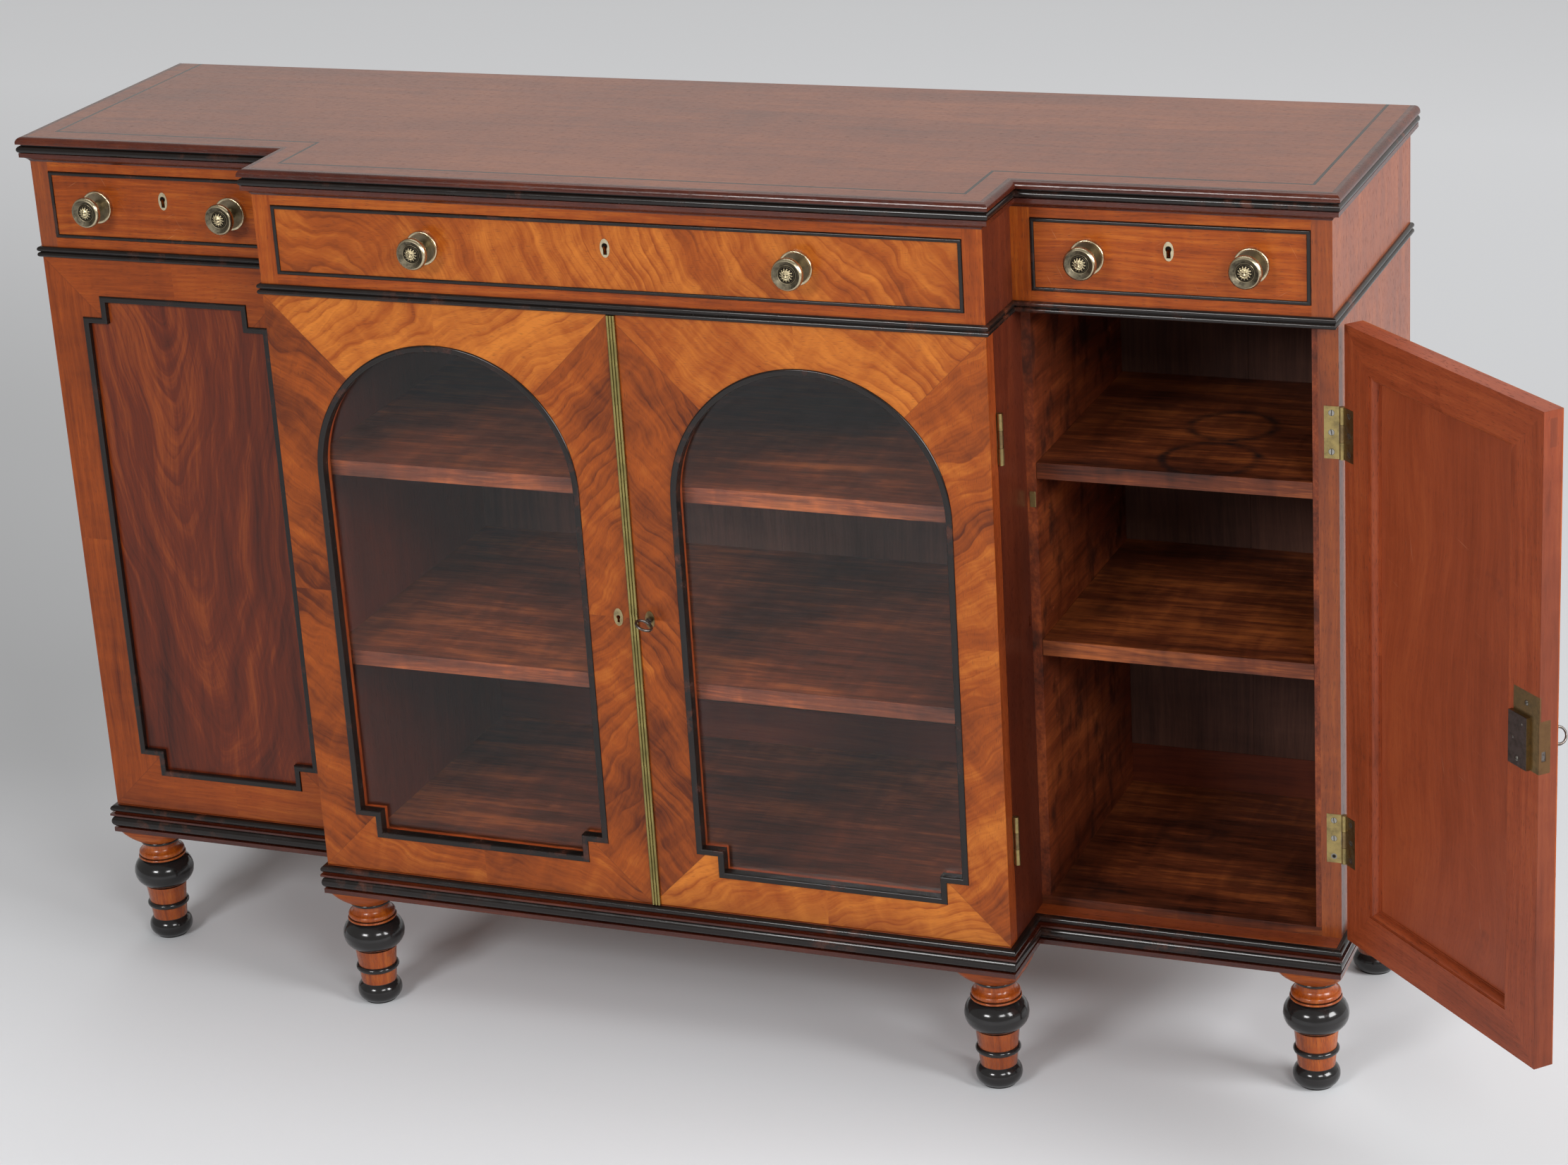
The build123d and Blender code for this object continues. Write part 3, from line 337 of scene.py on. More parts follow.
grainGroup = makeGrainGroup()
flameGroup = makeFlameGroup()
toneGroup = makeToneGroup()
scratchGroup = makeScratchGroup()
zoneGroup = makeZoneGroup()
outlineGroup = makeOutlineGroup()
patinaGroup = makePatinaGroup()
ringGroup = makeRingGroup()

# dark, middle and light tone of each wood
woodTones = {
    "orange": ((0.085, 0.013, 0.003), (0.290, 0.055, 0.006), (0.51, 0.138, 0.016)),
    "golden": ((0.090, 0.016, 0.003), (0.305, 0.063, 0.006), (0.57, 0.174, 0.022)),
    "red": ((0.10, 0.016, 0.004), (0.235, 0.044, 0.010), (0.36, 0.082, 0.018)),
    "doorBack": ((0.13, 0.022, 0.006), (0.265, 0.050, 0.016), (0.38, 0.086, 0.026)),
    "cornice": ((0.022, 0.004, 0.002), (0.060, 0.010, 0.004), (0.13, 0.026, 0.008)),
    "divider": ((0.04, 0.008, 0.004), (0.085, 0.016, 0.007), (0.14, 0.028, 0.010)),
    "top": ((0.085, 0.014, 0.003), (0.175, 0.036, 0.006), (0.27, 0.070, 0.014)),
    "ends": ((0.10, 0.016, 0.002), (0.225, 0.042, 0.003), (0.36, 0.085, 0.008)),
    "panel": ((0.032, 0.004, 0.001), (0.128, 0.018, 0.003), (0.31, 0.062, 0.007)),
    "inside": ((0.030, 0.007, 0.004), (0.185, 0.038, 0.013), (0.42, 0.100, 0.026)),
    "shelf": ((0.026, 0.007, 0.004), (0.138, 0.033, 0.012), (0.40, 0.108, 0.026)),
    "backs": ((0.030, 0.013, 0.010), (0.082, 0.035, 0.024), (0.145, 0.064, 0.042)),
    "secondary": ((0.10, 0.042, 0.018), (0.2, 0.092, 0.038), (0.3, 0.15, 0.065)),
}


veneerPolish = {"coat": 0.07, "coatRough": 0.14, "specular": 0.22}


def tone(name, value, pore=0.0, dirtAndShade=0.0):
    dark, middle, light = woodTones[name]
    return useGroup(toneGroup, Value=value, Pore=pore, Dirt=dirtAndShade, Dark=dark, Middle=middle, Light=light)


def grained(along, across, depth, seed, lines, wander=0.03):
    return useGroup(grainGroup, Along=along, Across=across, Depth=depth, Seed=seed, Lines=lines, Wander=wander)


def plainValue(grain, streak, cloud, mottle, shift):
    return grain["Streak"] * streak + grain["Cloud"] * cloud + grain["Mottle"] * mottle + shift


def scratched(across, up, seed, fields):
    return highest(*(useGroup(scratchGroup, Across=across, Up=up, Seed=seed + step, Angle=angle)["Mask"]
                     for step, angle in fields))


# direction is the axis that the grain follows, or "top" for a board lying flat with its grain along X;
# wear gives the height and the reach of the arris whose polish is rubbed off
def straightWood(name, toneName, direction, seed, roughness=0.34, coat=0.05, lines=1.0, contrast=1.0, dirtAndShade=None,
                 specular=0.22, frontTone=None, scratches=0.0, wear=None, coatRough=0.16, pores=1.0):
    material = newMaterial(name, coat, coatRough, specular)
    x, y, z = parts(cabinetPoint(material))
    along, across, depth = {"X": (x, z, y), "Z": (z, x, y), "top": (x, y, z), "Y": (y, x, z)}[direction]
    grain = grained(along, across, depth, seed, lines)
    value = plainValue(grain, 0.5 * contrast, 0.9 * contrast, 0.3 * contrast, 0.5 - 0.85 * contrast)
    toned = tone(toneName, value, grain["Pore"] * pores, dirtAndShade(x, y, z) if dirtAndShade else 0.0)
    colour = toned["Color"]
    if frontTone:  # the edge that shows in the frieze has the colour of the rails
        onFront = falling(y, plan["centreFront"] + 0.0004, plan["centreFront"] + 0.001)
        colour = blendColour(onFront, colour, tone(frontTone, value, grain["Pore"])["Color"])
    if scratches:
        mask = scratched(along, across, seed, ((0.0, 0.5), (4.0, -1.1))) * scratches
        colour = blendColour(mask, colour, (0.62, 0.36, 0.20))
    if wear:  # broken pale nicks
        out = useGroup(outlineGroup, Vector=joined(x, y, z))["Out"]
        nearEdge = remap(out, wear["reach"] - 0.0016, wear["reach"] - 0.0004)
        nearTop = falling(abs(z - wear["height"]), 0.0006, 0.0018)
        mask = nearEdge * nearTop * remap(noise(joined(x, y, 3.0), 42.0, 4.0, 0.7), 0.53, 0.62)
        colour = blendColour(mask * 0.75, colour, (0.34, 0.13, 0.06))
    return dress(material, colour, toned["Roughness"] + roughness, toned["Height"], 0.00002 + 0.00003 * pores)


# veneer cut from four leaves and mitred on the face, plain wood on the edges and the back;
# slants and leaf go in the order left side, right side, bottom, top, and leaf says how light each one is
def figuredFrame(name, toneName, sides, seed, slants, turned=False, strength=1.0, spacing=0.034, swirl=0.085,
                 front=plan["centreFront"], endGrain=None, leaf=(0.0, 0.0, 0.0, 0.0), straight=0.0):
    material = newMaterial(name, **veneerPolish)
    x, y, z = parts(cabinetPoint(material, turned))
    (left, right), (bottom, top) = sides, plan["doorHeights"]
    zone = useGroup(zoneGroup, Across=x, Up=z, Left=left, Right=right, Bottom=bottom, Top=top)

    def perMember(values):
        side = blendValue(zone["Far"], values[0], values[1])
        return blendValue(zone["Side"], blendValue(zone["High"], values[2], values[3]), side)

    zoneSeed = zone["Side"] * 1.7 + zone["Far"] * 3.1 + zone["High"] * 5.3 + seed
    figure = useGroup(flameGroup, Across=x, Up=z, Seed=zoneSeed, Slant=perMember(slants), Spacing=spacing, Swirl=swirl)
    leafTone = perMember(leaf)
    grain = grained(blendValue(zone["Side"], x, z), blendValue(zone["Side"], z, x), y, zoneSeed, 1.3)
    plain = plainValue(grain, 0.5, 0.9, 0.25, -0.32)
    value = blendValue(straight, flameValue(figure, strength) + leafTone, plain + leafTone)
    # darker towards the frame's bottom edge
    lowDirt = remap(z, bottom, bottom + 0.03, 0.22, 0.0)
    face = tone(toneName, value, grain["Pore"] * 0.8, highest(zone["Joint"] * 0.4, lowDirt))
    edgeDirt = 0.0
    if endGrain:  # the ends of the rails' tenons, let through the free edge
        atEdge = falling(x, left + 0.0002, left + 0.0006)
        inDepth = (y > endGrain["depth"][0]) * (y < endGrain["depth"][1])
        for low, high in endGrain["heights"]:
            edgeDirt = highest(edgeDirt, (z > low) * (z < high) * inDepth * atEdge)
        edgeDirt = edgeDirt * 0.45
    if turned:  # painted shade darkens the free edge, which the side lamp lights more than the face
        paintedEdgeShade = remap(z + noise(joined(x, y, z), 9.0) * 0.3, 0.75, 0.95, 0.46, 0.24)
        edgeDirt = highest(edgeDirt, paintedEdgeShade * falling(x, left + 0.0002, left + 0.0006))
    edge = tone("doorBack" if turned else "red", plain, grain["Pore"], edgeDirt)
    return dressTwoSides(material, falling(y, front + 0.0008, front + 0.0014), edge, face, (0.36, 0.28), 0.00005)


def plumePanel(name, seed, middle, turned=False):  # dark panel with a rising plume, plain and worn on its back
    material = newMaterial(name, 0.1, 0.16, 0.28)
    x, y, z = parts(cabinetPoint(material, turned))
    side = x - middle
    axis = side + (field(seed, seed, z * 5.0) - 0.5) * 0.09 + z * 0.03
    away = calc("SQRT", axis * axis + 0.0007)
    rise = z * 0.36 - away * remap(z, 0.2, 0.76, 0.75, 1.6)
    figure = useGroup(flameGroup, Across=side * 0.9, Up=rise, Seed=seed, Slant=1.5, Spacing=0.026, Swirl=0.085)
    grain = grained(z, x, y, seed, 0.5, 0.12)
    value = figure["Band"] * 0.9 + figure["Line"] * -0.2 + figure["Fine"] * 0.5 + figure["Cloud"] * 1.5
    value = value + figure["Fire"] * 0.7 + grain["Streak"] * 0.35 + (0.45 - 3.95 / 2)
    value = value + (remap(z, 0.25, 0.74) * 0.16 + remap(side, -0.10, 0.10) * -0.10)
    face = tone("panel", value, grain["Pore"] * 0.6)
    back = tone("doorBack" if turned else "red", plainValue(grain, 0.35, 0.6, 0.12, -0.03), grain["Pore"] * 0.5)
    marks = scratched(x, z, seed, ((1.0, 1.35), (7.0, 0.3))) * 0.5
    stains = remap(noise(joined(x, y, z), 14.0, 4.0, 0.65), 0.62, 0.74, 0.0, 0.5)
    back["Color"] = blendColour(stains, blendColour(marks, back["Color"], (0.55, 0.27, 0.16)), (0.09, 0.02, 0.012))
    return dressTwoSides(material, falling(y, 0.006, 0.008), back, face, (0.36, 0.3), 0.00004)


def centreDrawerWood():  # flame laid lengthwise, its slope changing along the front
    material = newMaterial("centreDrawerWood", **veneerPolish)
    x, y, z = parts(cabinetPoint(material))
    slant = 0.72 + calc("SINE", x * 7.0) * 0.12
    figure = useGroup(flameGroup, Across=x, Up=z, Seed=71.0, Slant=slant, Spacing=0.03, Swirl=0.1)
    value = flameValue(figure) + remap(x, -0.25, 0.1, -0.05, 0.13)
    toned = tone("golden", value, grained(x, z, y, 2.0, 0.7, 0.05)["Pore"] * 0.7)
    return dress(material, toned["Color"], toned["Roughness"] + 0.28, toned["Height"], 0.00004)


def ebonisedWood(name, turned=False):  # black stain under polish, rubbed to brown here and there
    material = newMaterial(name, 0.22, 0.05, 0.26)
    point = cabinetPoint(material, turned)
    rub = noise(point, 55.0, 3.0, 0.6)
    worn = remap(rub, 0.5, 0.7) * remap(noise(point, 9.0), 0.48, 0.66)
    colour = blendColour(worn, (0.010, 0.007, 0.006), (0.085, 0.024, 0.012))
    return dress(material, colour, remap(rub, 0.3, 0.8, 0.16, 0.32), noise(point, 22.0, 1.0), 0.00005, 0.5)


# heights between which a foot is black: toe, ring, swelling, bead and top ring
footBlack = {"bands": ((-0.01, 0.0225), (0.0362, 0.0428), (0.0622, 0.0966), (0.0988, 0.0996), (0.1144, 0.119)),
             "blur": 0.0003}


def turnedFootWood():
    material = newMaterial("turnedFoot", 0.3, 0.09, 0.35)
    x, y, z = parts(cabinetPoint(material))
    grain = grained(z, x, y, 4.0, 1.2)
    wood = tone("orange", plainValue(grain, 0.5, 0.6, 0.4, -0.25), grain["Pore"])
    blur = footBlack["blur"]
    black = highest(*(remap(z, low - blur, low + blur) * falling(z, high - blur, high + blur)
                      for low, high in footBlack["bands"]))
    colour = blendColour(black, wood["Color"], (0.013, 0.012, 0.012))
    rough = blendValue(black, wood["Roughness"] + 0.26, 0.16)
    return dress(material, colour, rough, wood["Height"] * (1.0 - black), 0.00008)


def patinaAt(point, scale, specks):
    return useGroup(patinaGroup, Vector=point, Scale=scale, Specks=specks)


def antiqueBrass(name, base=(0.42, 0.33, 0.17), dark=(0.10, 0.085, 0.06), rough=0.34, scale=160.0, specks=0.5,
                 bump=0.00003):
    material = newMaterial(name, metallic=1.0)
    patina = patinaAt(cabinetPoint(material), scale, specks)
    colour = blendColour(patina["Amount"], base, dark)
    return dress(material, colour, between(patina["Tarnish"], rough - 0.08, rough + 0.2), patina["Height"], bump, 0.6)


def lockBrass(name, left, caseFace, turned=False):  # brass plate, and the dark bronze case of the lock on it
    material = newMaterial(name, metallic=1.0)
    point = cabinetPoint(material, turned)
    patina, (x, y, z) = patinaAt(point, 130.0, 0.5), parts(point)
    onCase = remap(y, caseFace - 0.0002, caseFace + 0.0002) * remap(x, left, left + 0.0004) * (x < left + 0.03)
    plate = blendColour(patina["Amount"], (0.27, 0.185, 0.085), (0.08, 0.058, 0.04))
    if turned:  # the part round the door's edge is browner
        onEdge = remap(x, plan["wingInner"] + 0.0002, plan["wingInner"] + 0.0006, 0.75, 0.0)
        plate = blendColour(onEdge, plate, (0.13, 0.060, 0.028))
    bronze = blendColour(patina["Tarnish"], (0.13, 0.105, 0.095), (0.07, 0.052, 0.046))
    colour = blendColour(onCase, plate, bronze)
    return dress(material, colour, between(patina["Tarnish"], 0.3, 0.52), patina["Height"], 0.00003, 0.6)


knobs = {"height": 0.8485, "inset": 0.017, "headFront": 0.0225, "boss": 0.019, "base": 0.0046}
# height and outline of the keyhole shade painted on each escutcheon, and where the escutcheon begins
paintedKeyhole = {"height": 0.8575, "rise": 0.0021, "round": (0.0027, 0.0033), "slotHalf": (0.0017, 0.0022),
           "drop": (-0.0068, -0.0062), "fromKnob": 0.02}


def knobBrass(name, node, face):  # two knobs and the escutcheon on a drawer: rims rubbed bright, dishes and necks dark, and the keyhole painted near-black as shade
    material = newMaterial(name, metallic=1.0)
    low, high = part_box(node)
    middle, half = (low[0] + high[0]) / 2 - shiftX, (high[0] - low[0]) / 2 - knobs["inset"]
    point = cabinetPoint(material)
    patina, (x, y, z) = patinaAt(point, 210.0, 0.35), parts(point)
    aside, out = abs(x - middle), face - y
    radius = span(aside - half, z - knobs["height"])
    dish = remap(radius, 0.0142, 0.0134) * remap(radius, 0.0086, 0.0094) * (out > knobs["headFront"])
    well = remap(radius, 0.0152, 0.0144) * (out < knobs["base"])
    neck = remap(radius, 0.011, 0.009) * (out < knobs["boss"])
    onPlate = radius > paintedKeyhole["fromKnob"]
    dim = highest(dish, well * 0.7, neck * 0.6) * (1.0 - onPlate) * between(patina["Tarnish"], 0.78, 1.0)
    dim = highest(dim, patina["Amount"] * 0.45)
    # painted shade: the keyhole's outline drawn near-black, wider than the real opening
    above = z - paintedKeyhole["height"]
    slot = falling(aside, *paintedKeyhole["slotHalf"]) * remap(above, *paintedKeyhole["drop"]) * (above < paintedKeyhole["rise"])
    paintedKeyholeShade = highest(slot, falling(span(aside, above - paintedKeyhole["rise"]), *paintedKeyhole["round"]))
    metal = blendColour(dim, (0.66, 0.56, 0.37), (0.055, 0.047, 0.035))
    metal = blendColour(paintedKeyholeShade * onPlate, metal, (0.012, 0.009, 0.007))
    return dress(material, metal, between(dim, 0.24, 0.5), patina["Height"], 0.00002, 0.5)


def hollowOf(material):  # how deep a place lies, from the piece's own attribute: patina in the masks' hollows, painted shade on the screw heads
    return newNode(material.node_tree, "ShaderNodeAttribute", attribute_name="hollow")["Fac"]


def reliefBrass(name):  # cast relief: high places rubbed pale, hollows dark
    material = newMaterial(name, metallic=1.0)
    patina = patinaAt(cabinetPoint(material), 420.0, 0.3)
    dim = highest(remap(hollowOf(material), 0.08, 0.62), patina["Amount"] * 0.35)
    colour = blendColour(dim, (0.66, 0.55, 0.34), (0.022, 0.018, 0.014))
    return dress(material, colour, between(dim, 0.28, 0.6), patina["Height"], 0.00002, 0.5)


def screwMetal(name, turned=False, bright=(0.42, 0.40, 0.36)):  # screw heads with painted shade in the slot, the countersink and the empty hole, and patina
    material = newMaterial(name, metallic=1.0)
    patina = patinaAt(cabinetPoint(material, turned), 380.0, 0.5)
    dim = highest(hollowOf(material), patina["Amount"] * 0.8)
    colour = blendColour(dim, bright, (0.035, 0.028, 0.022))
    return dress(material, colour, between(dim, 0.3, 0.65), patina["Height"], 0.00003, 0.6)


def darkSteel(name, turned=False):
    material = newMaterial(name, metallic=1.0)
    rust = remap(noise(cabinetPoint(material, turned), 300.0, 4.0, 0.6), 0.45, 0.7)
    colour = blendColour(rust, (0.15, 0.135, 0.125), (0.075, 0.045, 0.032))
    return dress(material, colour, between(rust, 0.3, 0.6), rust, 0.00005, 0.5)


def oldGlass(name):
    material = newMaterial(name)
    tree = material.node_tree
    shader = tree.nodes["Principled BSDF"]
    shader.inputs["Transmission Weight"].default_value = 1.0
    shader.inputs["IOR"].default_value = 1.28
    point = cabinetPoint(material)
    haze = remap(noise(point, 9.0, 3.0), 0.45, 0.8, 0.0, 0.004)
    colour = blendColour(haze, (0.985, 0.99, 0.985), (0.95, 0.96, 0.95))
    dress(material, colour, haze, noise(point, 6.0, 1.0), 0.0001, 0.1)
    clear = newNode(tree, "ShaderNodeBsdfTransparent")[0]  # lets the lamps into the cupboard
    shadow = newNode(tree, "ShaderNodeLightPath")["Is Shadow Ray"]
    mixed = fed("MixShader", {0: shadow, 1: Signal(shader.outputs[0]), 2: clear})[0]
    put(mixed, tree.nodes["Material Output"].inputs["Surface"])
    return material


# middle, height, radius and strength of each ring that a glass left on the open shelves
glassRings = {"rings": ((0.542, 0.163, 0.635, 0.042, 0.95), (0.546, 0.066, 0.635, 0.046, 1.0),
                        (0.479, 0.200, 0.177, 0.026, 0.55)), "width": 0.0095}


def shelfStains(x, y, z):  # rings left by wet glasses, and old dark blots
    point = joined(x, y, z)
    soil = remap(noise(point, 11.0, 4.0, 0.6), 0.5, 0.72) * 0.55
    for *centre, radius, strength in glassRings["rings"]:
        ring = useGroup(ringGroup, Vector=point, Centre=centre, Radius=radius, Width=glassRings["width"])["Mask"]
        soil = highest(soil, ring * strength)
    return soil


def insideStains(x, y, z):  # dark blots and upright streaks on the inner sides
    blots = remap(noise(joined(x, y * 1.6, z), 16.0, 4.0, 0.65), 0.52, 0.66)
    streaks = remap(field(x, y * 60.0, z * 6.0, 3.0, 0.6), 0.55, 0.75)
    return highest(blots * 0.75, streaks * 0.5)


corniceWear = {"height": 0.92, "reach": 0.0095}
topWood = straightWood("polishedTop", "top", "top", 2.0, 0.3, 0.3, 0.9, 1.1, specular=0.45)
railWood = straightWood("railWood", "orange", "X", 5.0, lines=1.6, contrast=0.95)
uprightWood = straightWood("uprightWood", "orange", "Z", 8.0, lines=1.6, contrast=0.95)
dividerWood = straightWood("dividerWood", "divider", "Z", 8.5, contrast=0.9, frontTone="orange")
endWood = straightWood("caseEndWood", "ends", "Z", 9.0, 0.32, 0.2, 1.2, specular=0.4)
mouldingWood = straightWood("mouldingWood", "cornice", "X", 3.0, 0.24, 0.3, 1.2, specular=0.35, wear=corniceWear,
                            coatRough=0.05)
plinthWood = straightWood("plinthWood", "red", "X", 3.5, 0.34, 0.1, 1.2)
insideWood = straightWood("insideWood", "inside", "Y", 6.0, 0.42, 0.1, 1.0, 1.2, insideStains, pores=0.25)
shelfWood = straightWood("shelfWood", "shelf", "X", 6.5, 0.4, 0.1, 0.8, 1.5, shelfStains, pores=0.25)
backWood = straightWood("backBoardWood", "backs", "Z", 12.0, 0.6, 0.0, pores=0.25)
footRailWood = straightWood("footRailWood", "divider", "X", 12.5, 0.45, contrast=1.2, pores=0.25)
boxWood = straightWood("drawerWood", "secondary", "Y", 14.0, 0.6, 0.0)
wingDrawerWood = straightWood("wingDrawerWood", "orange", "X", 17.0, lines=1.4, scratches=0.6)
blockWood = straightWood("blockWood", "orange", "X", 19.0, lines=1.4)
leftDoorWood = figuredFrame("figuredLeftDoor", "golden", (-plan["centreHalf"], -0.0045), 21.0,
                            (0.96, 2.44, 1.22, 2.18), leaf=(-0.2, -0.14, 0.04, 0.2))
rightDoorWood = figuredFrame("figuredRightDoor", "golden", (-0.0041, plan["centreHalf"]), 33.0,
                             (0.70, 2.18, 1.92, 0.96), leaf=(-0.22, -0.06, 0.26, 0.14))
wingRecipe = {"strength": 0.3, "slants": (0.1, -0.1, 1.5, 1.6), "spacing": 0.02, "swirl": 0.03,
              "front": plan["wingFront"], "straight": 0.8}
leftWingWood = figuredFrame("leftWingFrame", "orange", (-plan["wingHalf"], -plan["wingInner"]), 45.0,
                            leaf=(-0.12, -0.1, -0.02, -0.02), **wingRecipe)
tenonEnds = {"heights": ((0.1755, 0.2015), (0.7585, 0.7845)), "depth": (0.0062, 0.0134)}
rightWingWood = figuredFrame("rightWingFrame", "orange", (plan["wingInner"], plan["wingHalf"]), 57.0, turned=True,
                             endGrain=tenonEnds, **wingRecipe)
leftPanelWood = plumePanel("leftPanel", 3.0, -0.532)
rightPanelWood = plumePanel("rightPanel", 5.0, 0.532, True)
drawerFlame = centreDrawerWood()
blackWood = ebonisedWood("ebonised")
blackWoodTurned = ebonisedWood("ebonisedOnDoor", True)
footWood = turnedFootWood()
brass = antiqueBrass("antiqueBrass")
leafBrass = antiqueBrass("leafBrass", (0.40, 0.30, 0.12), rough=0.38, scale=90.0)
lockBrassTurned = lockBrass("lockBrassOnDoor", 0.3905, 0.0235, True)
lockBrassCentre = lockBrass("lockBrassCentre", 0.0089, -0.0565)
stripBrass = antiqueBrass("greenBrass", (0.33, 0.27, 0.10), (0.14, 0.12, 0.05), 0.3, 40.0, 0.0, 0.00001)
knobLeft = knobBrass("knobBrassLeft", "drawer_left_brass", plan["wingFront"])
knobCentre = knobBrass("knobBrassCentre", "drawer_centre_brass", plan["centreFront"])
knobRight = knobBrass("knobBrassRight", "drawer_right_brass", plan["wingFront"])
maskBrass = reliefBrass("maskBrass")
screwSteel = screwMetal("screwSteel")
screwSteelTurned = screwMetal("screwSteelOnDoor", True, (0.26, 0.24, 0.21))
keySteel = darkSteel("keySteel")
keySteelTurned = darkSteel("keySteelOnDoor", True)
glass = oldGlass("oldGlass")

finishOf = {name: material for material, names in (
    (topWood, "top_board"), (railWood, "frieze_rails"), (uprightWood, "frieze_stiles"), (footWood, "feet"),
    (dividerWood, "divider_left divider_right"), (endWood, "case_side_left case_side_right"),
    (mouldingWood, "base_moulding cornice_moulding"), (plinthWood, "plinth_frame"), (blockWood, "foot_blocks"),
    (insideWood, "shelf_pegs wing_linings"), (shelfWood, "dust_boards floor_boards shelves_centre shelves_wings"),
    (backWood, "back_boards"), (footRailWood, "back_rail"), (drawerFlame, "drawer_centre_front"),
    (boxWood, "drawer_left_box drawer_centre_box drawer_right_box drawer_runners"),
    (wingDrawerWood, "drawer_left_front drawer_right_front"), (leftDoorWood, "door_centre_left_frame"),
    (rightDoorWood, "door_centre_right_frame"), (leftWingWood, "door_wing_left_frame"),
    (rightWingWood, "door_wing_right_frame"), (leftPanelWood, "door_wing_left_panel"),
    (rightPanelWood, "door_wing_right_panel"), (glass, "door_centre_left_glass door_centre_right_glass"),
    (blackWood, "base_beads cornice_bead string_moulding top_inlay door_centre_left_bead door_centre_right_bead "
                "door_wing_left_bead drawer_left_cockbead drawer_centre_cockbead drawer_right_cockbead"),
    (blackWoodTurned, "door_wing_right_bead"), (brass, "door_centre_left_brass door_centre_right_bolt hinge_pins"),
    (leafBrass, "door_wing_left_hinge_leaves hinge_leaves_case"), (stripBrass, "door_centre_right_strip"),
    (lockBrassCentre, "door_centre_right_brass"), (lockBrassTurned, "door_wing_right_brass"),
    (knobLeft, "drawer_left_brass"), (knobCentre, "drawer_centre_brass"), (knobRight, "drawer_right_brass"),
    (keySteel, "door_centre_right_key"), (keySteelTurned, "door_wing_right_bolt door_wing_right_key"),
) for name in names.split()}
for name, obj in nodes.items():
    if not obj.material_slots:
        obj.data.materials.append(finishOf[name])
    for slot in obj.material_slots:
        slot.material = finishOf[name]
print("stage: finishes given to", len(nodes), "CAD nodes")


def newObject(name, data):
    made = bpy.data.objects.new(name, data)
    bpy.context.scene.collection.objects.link(made)
    return made


def newPiece(name, mesh, material, body):
    if material:
        mesh.materials.append(material)
    piece = newObject(name, mesh)
    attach(piece, body)
    return piece


def meshOf(shape, name):  # the finished mesh, with its faces turned outwards
    bmesh.ops.recalc_face_normals(shape, faces=shape.faces[:])
    mesh = bpy.data.meshes.new(name)
    shape.to_mesh(mesh)
    shape.free()
    return mesh


def bridge(shape, *rings):  # faces from each ring to the next; a ring may be a single point
    for first, second in zip(rings, rings[1:]):
        count = max(len(first), len(second))
        for step in range(count):
            following = (step + 1) % count
            corners = (first[step % len(first)], second[step % len(second)],
                       second[following % len(second)], first[following % len(first)])
            shape.faces.new(list(dict.fromkeys(corners)))


def cap(shape, first, last):
    shape.faces.new(first)
    shape.faces.new(list(reversed(last)))


def circle(count, radius=1.0):
    turns = [2 * math.pi * step / count for step in range(count)]
    return [(radius * math.cos(turn), radius * math.sin(turn)) for turn in turns]


# radius, height and painted shade of each ring of a head of radius 1, from the middle outwards; the shade darkens the
# countersink and the empty hole
headProfiles = {
    "flat": ((0.0, 0.030, 0.15), (0.86, 0.030, 0.1), (0.93, 0.024, 0.2), (0.97, 0.012, 0.6), (1.0, 0.004, 1.0),
             (1.04, 0.004, 0.8), (1.06, -0.05, 0.8)),
    "domed": ((0.0, 0.36, 0.1), (0.3, 0.345, 0.05), (0.6, 0.28, 0.1), (0.85, 0.16, 0.2), (0.97, 0.05, 0.8),
              (1.0, -0.1, 1.0)),
    "hole": ((0.0, 0.004, 1.0), (0.42, 0.004, 1.0), (0.5, 0.006, 0.9), (0.75, 0.010, 0.45), (0.97, 0.014, 0.2),
             (1.03, 0.012, 0.7), (1.06, -0.05, 0.8)),
}
headSlot = {"spokes": 40, "half": 0.13, "slope": 0.03, "margin": 0.02, "bottom": {"flat": 0.008, "domed": 0.1}}


def screwHead(kind):  # a head with its slot, or an empty countersunk hole
    shape = bmesh.new()
    hollow = shape.verts.layers.float.new("hollow")
    rings = []
    for radius, height, dirtAndShade in headProfiles[kind]:
        ring = [shape.verts.new((x, y, height)) for x, y in circle(headSlot["spokes"] if radius else 1, radius)]
        for point in ring:
            point[hollow] = dirtAndShade
        rings.append(ring)
    bridge(shape, *rings)
    shape.faces.new(list(reversed(rings[-1])))
    if kind != "hole":  # cut the slot's edges through the head and drop what lies between them
        half, low = headSlot["half"], headSlot["bottom"][kind]
        for offset in (-half, half, headSlot["slope"] - half, half - headSlot["slope"]):
            cut = shape.verts[:] + shape.edges[:] + shape.faces[:]
            bmesh.ops.bisect_plane(shape, geom=cut, plane_co=(0, offset, 0), plane_no=(0, 1, 0))
        for point in shape.verts:
            # the slot's floor is painted fully dark, as shade
            if abs(point.co.y) < half - headSlot["margin"] and point.co.z > low:
                point.co.z = low
                point[hollow] = 1.0
    return newObject(kind + "Head", meshOf(shape, kind + "Head"))


